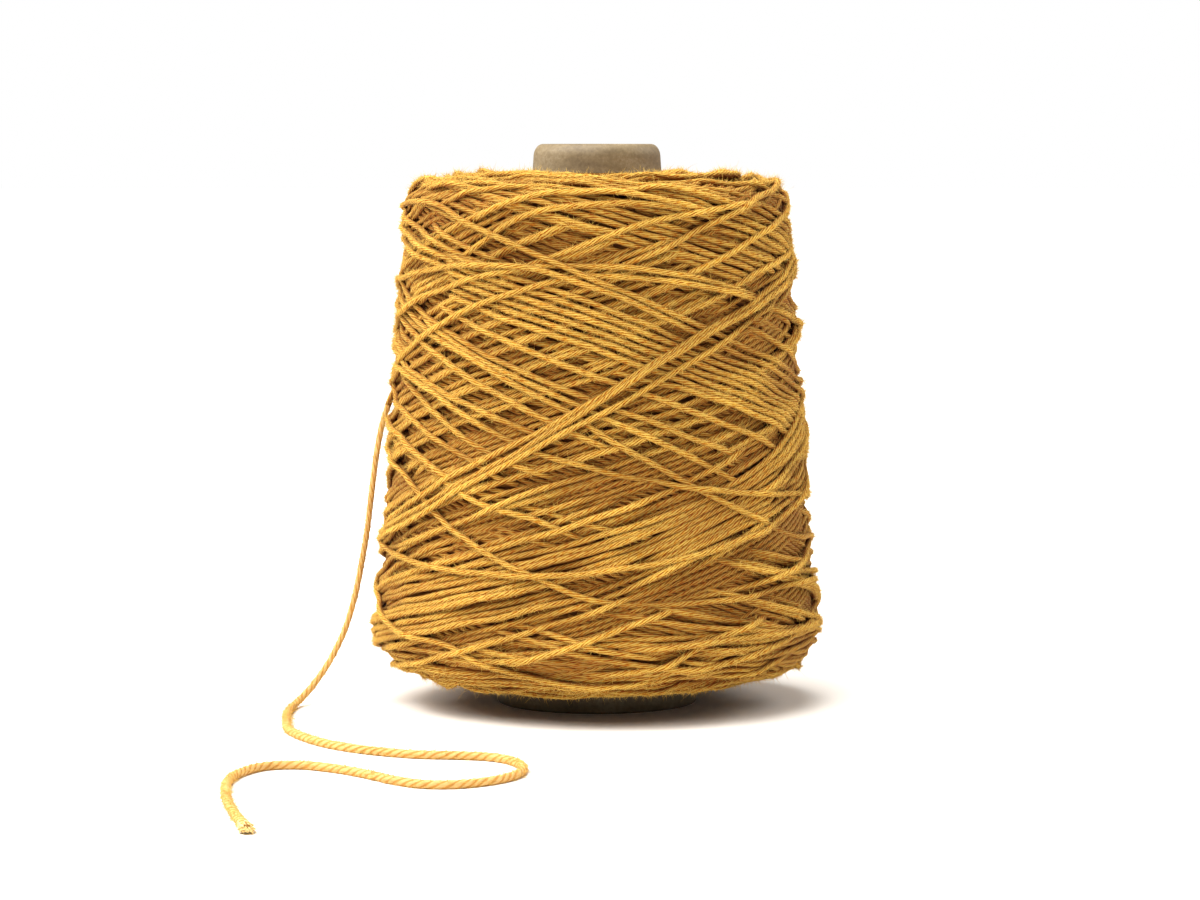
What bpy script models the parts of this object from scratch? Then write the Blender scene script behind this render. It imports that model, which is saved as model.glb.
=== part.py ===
"""A cone of wool yarn: a paper cone, the yarn wound on it and the yarn's loose end.

Metres, +Z up. The origin is on the surface that the cone stands on, under the middle of the
paper cone. -Y is the front, where the loose end lies.
"""

import math

import bmesh
import bpy
import numpy as np
from mathutils import Vector

MM = 0.001

# The paper cone: a tapered tube, open right through, with a rounded nose.
CONE_HEIGHT = 170.0 * MM
CONE_TAPER = math.radians(3.85)
CONE_BASE_RADIUS = 30.45 * MM
CONE_WALL = 3.0 * MM
NOSE_DEPTH = 4.0 * MM  # how far down the outer side the nose is rounded
NOSE_LIP = 0.4 * MM  # what is left flat of the wall's end
NOSE_POINTS = 7
CONE_STEPS = 64

# The wound yarn: (height, radius) of its outline in mm, from the bore at the top to the bore below.
OUTLINE_COLUMNS = ("height", "radius")
OUTLINE = (
    (162.4, 22.0),
    (161.8, 33.0),
    (160.6, 45.5),
    (158.6, 53.0),
    (155.0, 56.6),
    (148.0, 58.2),
    (134.0, 59.4),
    (110.0, 61.0),
    (88.0, 62.6),
    (66.0, 64.0),
    (48.0, 65.6),
    (34.0, 67.0),
    (22.0, 67.7),
    (15.5, 65.2),
    (11.0, 59.5),
    (8.4, 50.0),
    (8.0, 38.0),
)
BORE_GAP = 0.3 * MM
WOUND_STEPS = 92
WOUND_ROWS = 46  # points along the outline

# Bands of turns lie over each other in two directions and leave the surface uneven.
BANDS = 13  # round the cone, in each direction
BAND_RISE = math.radians(21.0)
BAND_HEIGHT = 1.5 * MM
BAND_LEVEL = 0.4  # the share of a band's height that lies below the outline
BAND_OFFSET = 0.37  # of a band, between the two directions
WANDER_ROUND = 0.22  # of a band, how far it strays round the cone
WANDER_UP = 0.18  # of a band, how far it strays up the cone
WANDER_LENGTH = 57.0 * MM  # height of one stray up the cone
LUMP_HEIGHT = 0.25 * MM
LUMP_LENGTH = 107.0 * MM  # height of one soft lump
END_TURN_PITCH = 6.5 * MM  # from one ring of turns to the next on the two end faces
END_TURN_HEIGHT = 0.7 * MM
EDGE_FADE = 5.0 * MM  # the unevenness fades out this near to the bore
SHOULDER_BLEND = 1.6  # how soon a leaning surface counts as an end face

# Main twists, the groups of strands that lie on top. Angles in degrees from the front (-Y)
# towards +X, heights and widths in mm; "bow" lifts the middle of a twist above its ends.
TWIST_COLUMNS = ("start_deg", "start_height", "end_deg", "end_height", "bow", "width")
MAIN_TWISTS = (
    (-88, 48, 92, 136, 3, 7.0),
    (-80, 128, 90, 97, 16, 5.0),
    (-66, 116, 64, 120, 14, 6.0),
    (-76, 151, 84, 86, 2, 6.0),
    (-86, 50, 88, 66, -17, 4.5),
    (-60, 112, 92, 62, -3, 5.0),
    (-84, 22, 66, 57, -4, 6.0),
    (-48, 50, 74, 20, -4, 5.0),
    (84, 130, 230, 54, 2, 7.0),
    (92, 62, 250, 128, -2, 6.0),
    (96, 100, 268, 118, 14, 6.0),
    (110, 24, 262, 62, -6, 6.0),
    (120, 146, 276, 86, 0, 5.0),
)
TWIST_HEIGHT = 1.7 * MM
TWIST_SPREAD = 0.75  # a twist's foot reaches this share of its width to each side
TWIST_RUN_OUT = 0.125  # of a twist's length, over which each end sinks in
TWIST_COVER = 0.6  # how much of the bands a twist hides

# The loose end: one strand that comes off the wound yarn at the left, hangs to the surface and
# lies there in a long bend. (x, y, height) of its middle in mm, from the wound yarn to the cut end.
YARN_RADIUS = 1.1 * MM
LOOSE_END_ROUTE = (
    (-64.1, 7.0, 90.0),
    (-65.8, 6.0, 84.5),
    (-67.6, 4.6, 75.0),
    (-69.2, 2.8, 62.0),
    (-70.4, 1.9, 52.0),
    (-71.9, 0.7, 43.0),
    (-74.2, -1.1, 31.5),
    (-77.4, -2.8, 21.2),
    (-82.0, -4.6, 12.0),
    (-87.0, -8.5, 5.0),
    (-90.6, -17.0, 1.8),
    (-92.1, -32.0, 1.15),
    (-91.3, -50.0, 1.15),
    (-88.8, -70.0, 1.15),
    (-83.2, -84.5, 1.15),
    (-74.8, -98.0, 1.15),
    (-63.6, -108.5, 1.15),
    (-51.0, -115.5, 1.15),
    (-39.0, -117.6, 1.15),
    (-30.5, -119.8, 1.15),
    (-24.6, -125.0, 1.15),
    (-21.0, -133.0, 1.15),
    (-19.9, -143.0, 1.15),
    (-22.6, -153.5, 1.15),
    (-29.0, -162.0, 1.15),
    (-38.0, -167.3, 1.15),
    (-46.5, -166.6, 1.15),
    (-54.0, -160.2, 1.15),
    (-62.0, -149.8, 1.15),
    (-71.0, -140.6, 1.15),
    (-81.0, -134.6, 1.15),
    (-89.8, -136.2, 1.15),
    (-95.4, -145.5, 1.15),
    (-98.0, -159.0, 1.15),
    (-97.0, -180.0, 1.15),
    (-93.2, -205.0, 1.15),
    (-86.9, -233.5, 1.15),
)
LOOSE_END_POINTS = 79


def clear_scene():
    for old in list(bpy.data.objects):
        bpy.data.objects.remove(old, do_unlink=True)


def new_collection(name):
    collection = bpy.data.collections.new(name)
    bpy.context.scene.collection.children.link(collection)
    return collection


def new_material(name, colour, roughness, metallic=0.0):
    material = bpy.data.materials.new(name)
    material.use_nodes = True
    shader = material.node_tree.nodes["Principled BSDF"]
    shader.inputs["Base Color"].default_value = (*colour, 1.0)
    shader.inputs["Roughness"].default_value = roughness
    shader.inputs["Metallic"].default_value = metallic
    material.diffuse_color = (*colour, 1.0)
    return material


def smooth_curve(points, count):
    """count points, evenly spaced, on a centripetal Catmull-Rom curve through points."""
    points = np.array(points, float)
    first = 2 * points[0] - points[1]
    last = 2 * points[-1] - points[-2]
    knots = np.vstack([first, points, last])
    dense = []
    for i in range(1, len(knots) - 2):
        p0, p1, p2, p3 = knots[i - 1 : i + 3]
        t1 = np.linalg.norm(p1 - p0) ** 0.5
        t2 = t1 + np.linalg.norm(p2 - p1) ** 0.5
        t3 = t2 + np.linalg.norm(p3 - p2) ** 0.5
        for t in np.linspace(t1, t2, 24, endpoint=False):
            a1 = p0 + (p1 - p0) * t / t1
            a2 = p1 + (p2 - p1) * (t - t1) / (t2 - t1)
            a3 = p2 + (p3 - p2) * (t - t2) / (t3 - t2)
            b1 = a1 + (a2 - a1) * t / t2
            b2 = a2 + (a3 - a2) * (t - t1) / (t3 - t1)
            dense.append(b1 + (b2 - b1) * (t - t1) / (t2 - t1))
    dense.append(knots[-2])
    dense = np.array(dense)
    steps = np.linalg.norm(np.diff(dense, axis=0), axis=1)
    travel = np.concatenate([[0.0], np.cumsum(steps)])
    even = np.linspace(0.0, travel[-1], count)
    return np.stack([np.interp(even, travel, dense[:, k]) for k in range(dense.shape[1])], axis=1)


def cone_radius(height):
    """The paper cone's outer radius on its straight taper."""
    return CONE_BASE_RADIUS - height * math.tan(CONE_TAPER)


def turned(name, profile, steps, collection):
    """A closed (radius, height) profile turned round Z. It runs down the outer side."""
    mesh = bpy.data.meshes.new(name)
    edges = [(i, (i + 1) % len(profile)) for i in range(len(profile))]
    mesh.from_pydata([(r, 0.0, z) for r, z in profile], edges, [])
    thing = bpy.data.objects.new(name, mesh)
    collection.objects.link(thing)
    screw = thing.modifiers.new("turn", "SCREW")
    screw.axis = "Z"
    screw.angle = math.tau
    screw.steps = steps
    screw.render_steps = steps
    screw.use_merge_vertices = True
    screw.merge_threshold = 0.00001
    return thing


def cone_profile():
    """The paper cone's wall: rounded nose, outer side down, base, inner side up."""
    shoulder = CONE_HEIGHT - NOSE_DEPTH
    inner_top = cone_radius(CONE_HEIGHT) - CONE_WALL
    lip = inner_top + NOSE_LIP
    profile = [(inner_top, CONE_HEIGHT)]
    for turn in np.linspace(math.pi / 2, 0.0, NOSE_POINTS):
        radius = lip + (cone_radius(shoulder) - lip) * math.cos(turn)
        profile.append((radius, shoulder + NOSE_DEPTH * math.sin(turn)))
    profile.append((CONE_BASE_RADIUS, 0.0))
    profile.append((CONE_BASE_RADIUS - CONE_WALL, 0.0))
    return profile


def make_paper_cone(collection):
    cone = turned("paper_cone", cone_profile(), CONE_STEPS, collection)
    cone.data.materials.append(new_material("grey-brown cone board", (0.36, 0.27, 0.18), 0.6))
    return cone


def wound_outline():
    """The wound yarn's outline in metres as (radius, height), evenly spaced and smooth."""
    named = [dict(zip(OUTLINE_COLUMNS, row)) for row in OUTLINE]
    points = [(row["radius"] * MM, row["height"] * MM) for row in named]
    return smooth_curve(points, WOUND_ROWS)


def band_lift(angle, height, radius):
    """How far the crossing bands raise the surface there, 0 to 1."""
    lift = 0.0
    for lean, offset in ((1, 0.0), (-1, BAND_OFFSET)):
        turned_by = lean * height / (radius * math.tan(BAND_RISE))
        stray = WANDER_ROUND * math.sin(3 * angle + 2 * lean)
        stray += WANDER_UP * math.sin(math.tau * height / WANDER_LENGTH + lean)
        ridge = math.cos(BANDS * (angle - turned_by) + math.tau * (offset + stray))
        lift = max(lift, (0.5 + 0.5 * ridge) ** 2)
    return lift


def twist_lift(angle, height, radius):
    """How far the main twists raise the surface there, 0 to 1. The angle is from the front."""
    lift = 0.0
    for row in MAIN_TWISTS:
        twist = dict(zip(TWIST_COLUMNS, row))
        start = math.radians(twist["start_deg"])
        length = math.radians(twist["end_deg"]) - start
        along = ((angle - start) % math.tau) / length
        if along > 1.0:
            continue
        rise = (twist["end_height"] - twist["start_height"]) * MM
        bow = twist["bow"] * MM
        middle = twist["start_height"] * MM + rise * along + bow * 4 * along * (1 - along)
        slope = (rise + bow * 4 * (1 - 2 * along)) / (length * radius)
        foot = TWIST_SPREAD * twist["width"] * MM * math.hypot(1.0, slope)
        away = abs(height - middle) / foot
        run_out = min(1.0, along / TWIST_RUN_OUT, (1 - along) / TWIST_RUN_OUT)
        if away < 1.0:
            lift = max(lift, run_out * (0.5 + 0.5 * math.cos(math.pi * away)))
    return lift


def lump_lift(angle, height):
    """How far soft lumps raise the surface there, -1 to 1."""
    turn = math.tau * height / LUMP_LENGTH
    return (math.sin(2 * angle + 1) * math.sin(turn) + math.sin(5 * angle - 2 * turn)) / 2


def end_lift(angle, radius):
    """How far the turns raise an end face there, -1 to 1: rings that lean across each other."""
    turn = math.tau * radius / END_TURN_PITCH
    return (math.sin(turn + 2 * angle) + math.sin(turn - 3 * angle)) / 2


def surface_lift(angle, height, radius, level):
    """How far the uneven surface stands out from the outline, in metres.

    level is 1 on the flat end faces and 0 on the side.
    """
    fade = min(1.0, (radius - cone_radius(height)) / EDGE_FADE)
    twist = twist_lift(angle, height, radius)
    side = BAND_HEIGHT * (band_lift(angle, height, radius) - BAND_LEVEL)
    side += LUMP_HEIGHT * 2 * lump_lift(angle, height)
    side = side * (1 - TWIST_COVER * twist) + TWIST_HEIGHT * twist
    return fade * (side * (1 - level) + END_TURN_HEIGHT * end_lift(angle, radius) * level)


def make_yarn_package(collection):
    """The wound yarn as one solid with its bore, its bands of turns and its main twists."""
    outline = wound_outline()
    top, bottom = outline[0], outline[-1]
    bore_top = (cone_radius(top[1]) + BORE_GAP, top[1])
    bore_bottom = (cone_radius(bottom[1]) + BORE_GAP, bottom[1])
    profile = [bore_top, *map(tuple, outline), bore_bottom]
    blank = turned("wound blank", profile, WOUND_STEPS, collection)
    evaluated = blank.evaluated_get(bpy.context.evaluated_depsgraph_get())
    mesh = bpy.data.meshes.new_from_object(evaluated)
    bpy.data.objects.remove(blank, do_unlink=True)

    form = bmesh.new()
    form.from_mesh(mesh)
    form.normal_update()
    moves = []
    for point in form.verts:
        radius = math.hypot(point.co.x, point.co.y)
        if radius < cone_radius(point.co.z) + 2 * BORE_GAP:
            continue
        angle = math.atan2(point.co.x, -point.co.y)
        level = min(1.0, SHOULDER_BLEND * point.normal.z**2)
        away = point.normal * surface_lift(angle, point.co.z, radius, level)
        moves.append((point, away))
    for point, away in moves:
        point.co += away
    form.to_mesh(mesh)
    form.free()
    centre_outline(mesh)

    yarn = bpy.data.objects.new("yarn_package", mesh)
    collection.objects.link(yarn)
    yarn.data.materials.append(new_material("mustard wool", (0.60, 0.33, 0.06), 0.9))
    yarn.data.shade_smooth()
    return yarn


def centre_outline(mesh):
    """Shifts the outer surface a little, so that its widest points lie evenly about the axis."""
    outer = [v for v in mesh.vertices if math.hypot(v.co.x, v.co.y) > 1.2 * CONE_BASE_RADIUS]
    for axis in (0, 1):
        values = [v.co[axis] for v in outer]
        shift = (max(values) + min(values)) / 2
        reach = (max(values) - min(values)) / 2
        for v in outer:
            radius = math.hypot(v.co.x, v.co.y)
            v.co[axis] -= shift * min(1.0, radius / reach)


def make_loose_end(collection):
    """The loose end as a tube along its route."""
    route = smooth_curve([Vector(point) * MM for point in LOOSE_END_ROUTE], LOOSE_END_POINTS)
    curve = bpy.data.curves.new("loose_end", "CURVE")
    curve.dimensions = "3D"
    curve.bevel_depth = YARN_RADIUS
    curve.bevel_resolution = 2
    curve.render_resolution_u = 0
    curve.use_fill_caps = True
    spline = curve.splines.new("POLY")
    spline.points.add(len(route) - 1)
    for point, place in zip(spline.points, route):
        point.co = (*place, 1.0)
    thing = bpy.data.objects.new("loose_end", curve)
    collection.objects.link(thing)
    curve.materials.append(new_material("mustard wool, loose end", (0.66, 0.38, 0.08), 0.9))
    return thing


def build():
    clear_scene()
    collection = new_collection("cone of yarn")
    make_paper_cone(collection)
    make_yarn_package(collection)
    make_loose_end(collection)


build()
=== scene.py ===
"""A cone of mustard wool yarn: the looks of the paper cone, the wound yarn and its loose end.

Metres, +Z up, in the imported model's frame. -Y is the front, where the loose end lies. On the
wound yarn a place is an angle from the front towards +X and a way, the distance along the
outline from the top bore over the top face, down the side and over the bottom face.
"""

import math

import bmesh
import bpy
import numpy as np
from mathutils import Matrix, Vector


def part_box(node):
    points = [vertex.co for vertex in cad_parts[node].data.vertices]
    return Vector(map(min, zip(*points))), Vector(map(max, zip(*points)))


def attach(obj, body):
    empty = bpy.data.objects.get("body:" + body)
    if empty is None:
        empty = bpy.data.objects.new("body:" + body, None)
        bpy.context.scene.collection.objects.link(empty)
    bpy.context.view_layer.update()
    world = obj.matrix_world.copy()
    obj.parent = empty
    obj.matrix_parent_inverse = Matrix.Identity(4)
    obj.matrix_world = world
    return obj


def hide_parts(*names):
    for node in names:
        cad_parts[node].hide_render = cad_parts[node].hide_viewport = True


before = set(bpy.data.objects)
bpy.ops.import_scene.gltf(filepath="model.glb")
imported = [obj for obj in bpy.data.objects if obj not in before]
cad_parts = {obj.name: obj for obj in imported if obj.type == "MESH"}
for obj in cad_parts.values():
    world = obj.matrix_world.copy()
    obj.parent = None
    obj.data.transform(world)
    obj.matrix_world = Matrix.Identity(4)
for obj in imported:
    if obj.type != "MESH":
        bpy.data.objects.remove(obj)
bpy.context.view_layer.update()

MM = 0.001
RANDOM_SEED = 7

# The camera, from the cone's ellipses in the photograph.
CAMERA_PLACE = (0.92 * MM, -1209.0 * MM, 172.0 * MM)
CAMERA_TILT = math.radians(4.5)  # below the horizon
CAMERA_LENS = 119.2
CAMERA_SENSOR = 36.0
CAMERA_REACH = 20.0

# The paper cone.
CONE_BASE_RADIUS = 30.45 * MM
CONE_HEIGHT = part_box("paper_cone")[1][2]
CONE_TAPER = math.radians(3.85)
CONE_WALL = 3.0 * MM
NOSE_DEPTH = 4.0 * MM  # how far down the outer side the nose is rounded
NOSE_LIP = 0.4 * MM  # what is left flat of the wall's end
EDGE_BREAK = 0.4 * MM  # how far the other edges of the wall are worn off sideways
EDGE_HEIGHT = 0.5 * MM  # and how far up
BORE_GAP = 0.3 * MM

# The wound yarn's outline as (height, radius) in mm, from the bore at the top to the bore below.
OUTLINE = (
    (162.4, 22.0),
    (161.8, 33.0),
    (160.6, 45.5),
    (158.6, 53.0),
    (155.0, 56.6),
    (148.0, 58.2),
    (134.0, 59.4),
    (110.0, 61.0),
    (88.0, 62.6),
    (66.0, 64.0),
    (48.0, 65.6),
    (34.0, 67.0),
    (22.0, 67.7),
    (15.5, 65.2),
    (11.0, 59.5),
    (8.4, 50.0),
    (8.0, 38.0),
)

# The yarn: four plies twisted together, pressed a little flat where it lies on other turns.
YARN_RADIUS = 1.1 * MM
YARN_HALF_WIDTH = 0.95 * MM
YARN_HALF_HEIGHT = 0.88 * MM
PLIES = 4
LOOSE_TURN = 12.5 * MM  # length of yarn in which a ply goes round once, where nothing pulls it
WOUND_STREAKS = 8  # finer lines round a wound strand, which is pulled longer
WOUND_TURN = 20.0 * MM

# How the turns are laid over each other.
PATH_STEP = 0.45 * MM
GRID_COLUMNS = 900  # of the table of how high the yarn stands, round the package
GRID_ROW = 0.45 * MM  # and its rows, along the outline
FOOT = 0.9 * MM  # half of the width in which a strand rests on others
FOOT_PLACES = 7  # places across a strand where it is felt what it rests on
CROWN_PLACES = 9  # places across a strand where the strands after it will find it
CROWN_FINE = 3  # and how many along it for each of its own points
SETTLED = 0.56 * MM  # half of what a strand adds where it crosses another, once it is squashed
LEAST_BEND = 2.0  # per metre, the curve of the flattest surface that a strand is pulled against
SLACK = 42.0  # per metre, how much more a strand bends down into a gap than a taut one would
SOFTNESS = 1.8 * MM  # how far a strand evens out the steps under it
TAIL = 12.0 * MM  # the end of one course that the next one continues
SINK_DEPTH = 3.0 * MM  # how deep a free end goes in between the strands already laid
SINK_LENGTH = 9.0 * MM
SINK_CURVE = 1.5
LEVEL_ROUND = 5.0 * MM  # the laid turns are brought to the outline on average over this reach
LEVEL_ALONG = 3.5 * MM  # and over this one along the outline
OUTLINE_OFFSET = -0.2 * MM  # where the middles of the topmost strands lie, on average
MOST_PROUD = 0.95 * MM  # the furthest that a strand stands from that average, once pressed
# How much fuller than the outline the package is wound: heights, and what is added at each.
FULLNESS = (
    (8.0 * MM, 13.0 * MM, 20.0 * MM, 142.0 * MM, 149.0 * MM, 153.0 * MM, 157.0 * MM, 161.0 * MM),
    (0.0, 0.7 * MM, 1.3 * MM, 1.1 * MM, 1.5 * MM, 2.2 * MM, 1.2 * MM, 0.0),
)
HOLE_DEPTH = 4.6 * MM  # older turns fill any gap deeper than this
DEEPEST = 6.5 * MM  # the depth towards which strands in deep gaps are gathered
TOP_REACH = 2.3 * MM  # how far round a place its highest strand is looked for
GAP_REACH = 1.9 * MM  # how far round a place its deepest gap is looked for
BURIED_DEPTH = 0.6 * MM  # how far below that gap a strand is left out
SEEN_MARGIN = 4.0 * MM  # how far a strand is kept beyond where it shows
DIVE = 1.6 * MM  # how far it sinks along that margin
GAP_RISE = 0.3 * MM  # how far above the fill a gap still ends at it
OPEN_REACH = 1.4 * MM  # the surroundings in which a gap's width is judged
OPEN_SHARE = 0.3  # how much of them is a gap where older turns show in it
WAVER = 0.13 * MM  # how far a strand strays to either side
WAVER_LENGTHS = (18.0 * MM, 45.0 * MM)
OUTLINE_POINTS = 600


# ---------------------------------------------------------------- curves and the wound surface


def unit(vectors):
    """The vectors at a length of one."""
    return vectors / np.linalg.norm(vectors, axis=-1, keepdims=True)


def travelled(points):
    """How far along a path each of its points is."""
    return np.concatenate([[0.0], np.cumsum(np.linalg.norm(np.diff(points, axis=0), axis=1))])


def smooth_curve(points, count, fine=24):
    """count points, evenly spaced, on a centripetal Catmull-Rom curve through points."""
    points = np.array(points, float)
    first = 2 * points[0] - points[1]
    last = 2 * points[-1] - points[-2]
    knots = np.vstack([first, points, last])
    dense = []
    for i in range(1, len(knots) - 2):
        p0, p1, p2, p3 = knots[i - 1 : i + 3]
        t1 = np.linalg.norm(p1 - p0) ** 0.5
        t2 = t1 + np.linalg.norm(p2 - p1) ** 0.5
        t3 = t2 + np.linalg.norm(p3 - p2) ** 0.5
        t = np.linspace(t1, t2, fine, endpoint=False)[:, None]
        a1 = p0 + (p1 - p0) * t / t1
        a2 = p1 + (p2 - p1) * (t - t1) / (t2 - t1)
        a3 = p2 + (p3 - p2) * (t - t2) / (t3 - t2)
        b1 = a1 + (a2 - a1) * t / t2
        b2 = a2 + (a3 - a2) * (t - t1) / (t3 - t1)
        dense.append(b1 + (b2 - b1) * (t - t1) / (t2 - t1))
    dense = np.vstack([*dense, knots[-2]])
    travel = travelled(dense)
    even = np.linspace(0.0, travel[-1], count)
    return np.stack([np.interp(even, travel, column) for column in dense.T], axis=1)


def cone_radius(height):
    """The paper cone's outer radius on its straight taper."""
    return CONE_BASE_RADIUS - height * math.tan(CONE_TAPER)


class Outline:
    """The outline as tables by way: radius, height and the direction that points outwards."""

    corners = [(radius * MM, height * MM) for height, radius in OUTLINE]
    points = smooth_curve(corners, OUTLINE_POINTS)
    way = travelled(points)
    radius, height = points.T
    along = unit(np.gradient(points, way, axis=0))
    length = way[-1]


def radius_at(way):
    return np.interp(way, Outline.way, Outline.radius)


def height_at(way):
    return np.interp(way, Outline.way, Outline.height)


def way_at_height(height):
    """The way at a height on the side, where the height falls steadily."""
    return np.interp(-np.asarray(height), -Outline.height, Outline.way)


def way_at_radius(radius, top=True):
    """The way at a radius on the top face, or on the bottom face."""
    widest = int(np.argmax(Outline.radius))
    if top:
        return np.interp(radius, Outline.radius[:widest], Outline.way[:widest])
    return np.interp(-radius, -Outline.radius[widest:], Outline.way[widest:])


def outwards(angle, way):
    """Unit vectors that point out of the wound surface."""
    along_radius = np.interp(way, Outline.way, Outline.along[:, 0])
    along_height = np.interp(way, Outline.way, Outline.along[:, 1])
    return np.stack(
        [-along_height * np.sin(angle), along_height * np.cos(angle), along_radius], axis=-1
    )


def on_surface(angle, way, lift=0.0):
    """Points that lie lift above the wound surface."""
    radius = radius_at(way)
    base = np.stack([radius * np.sin(angle), -radius * np.cos(angle), height_at(way)], axis=-1)
    return base + outwards(angle, way) * np.asarray(lift)[..., None]


# ---------------------------------------------------------------- laying the turns


def even_path(angle, way, step=PATH_STEP):
    """The same path with its points at even steps."""
    radius = radius_at(way)
    round_steps = np.diff(angle) * (radius[1:] + radius[:-1]) / 2
    travel = np.concatenate([[0.0], np.cumsum(np.hypot(round_steps, np.diff(way)))])
    even = np.linspace(0.0, travel[-1], max(4, int(travel[-1] / step)))
    return np.interp(even, travel, angle), np.interp(even, travel, way)


def soften(values, reach, step=PATH_STEP):
    """values evened out over reach, with the ends kept."""
    half = int(3 * reach / step)
    weights = np.exp(-0.5 * (np.arange(-half, half + 1) * step / reach) ** 2)
    padded = np.pad(values, half, mode="edge")
    return np.convolve(padded, weights / weights.sum(), mode="valid")


def pulled_tight(heights):
    """The lowest curve over the heights that bends only downwards, as a taut strand does."""
    kept = []
    for here in enumerate(heights):
        while len(kept) > 1:
            (x0, y0), (x1, y1) = kept[-2:]
            if (y1 - y0) * (here[0] - x0) > (here[1] - y0) * (x1 - x0):
                break
            kept.pop()
        kept.append(here)
    places, tops = zip(*kept)
    return np.interp(np.arange(len(heights)), places, tops)


def stretches(shows, path):
    """The stretches of a path along which it shows, as separate paths.

    Each has a margin, along which it dives away where the path is cut.
    """
    spread = int(SEEN_MARGIN / PATH_STEP)
    shows = np.convolve(shows, np.ones(2 * spread + 1), mode="same") > 0.5
    edges = np.flatnonzero(np.diff(np.concatenate([[0], shows, [0]])))
    parts = []
    for a, b in zip(edges[::2], edges[1::2]):
        if b - a <= spread:
            continue
        angle, way, lift = (values[a:b] for values in path)
        before = np.arange(b - a) if a > 0 else spread
        after = np.arange(b - a)[::-1] if b < len(shows) else spread
        into = np.minimum(np.minimum(before, after), spread) / spread
        parts.append((angle, way, lift - DIVE * (1 - into) ** 2))
    return parts


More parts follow.
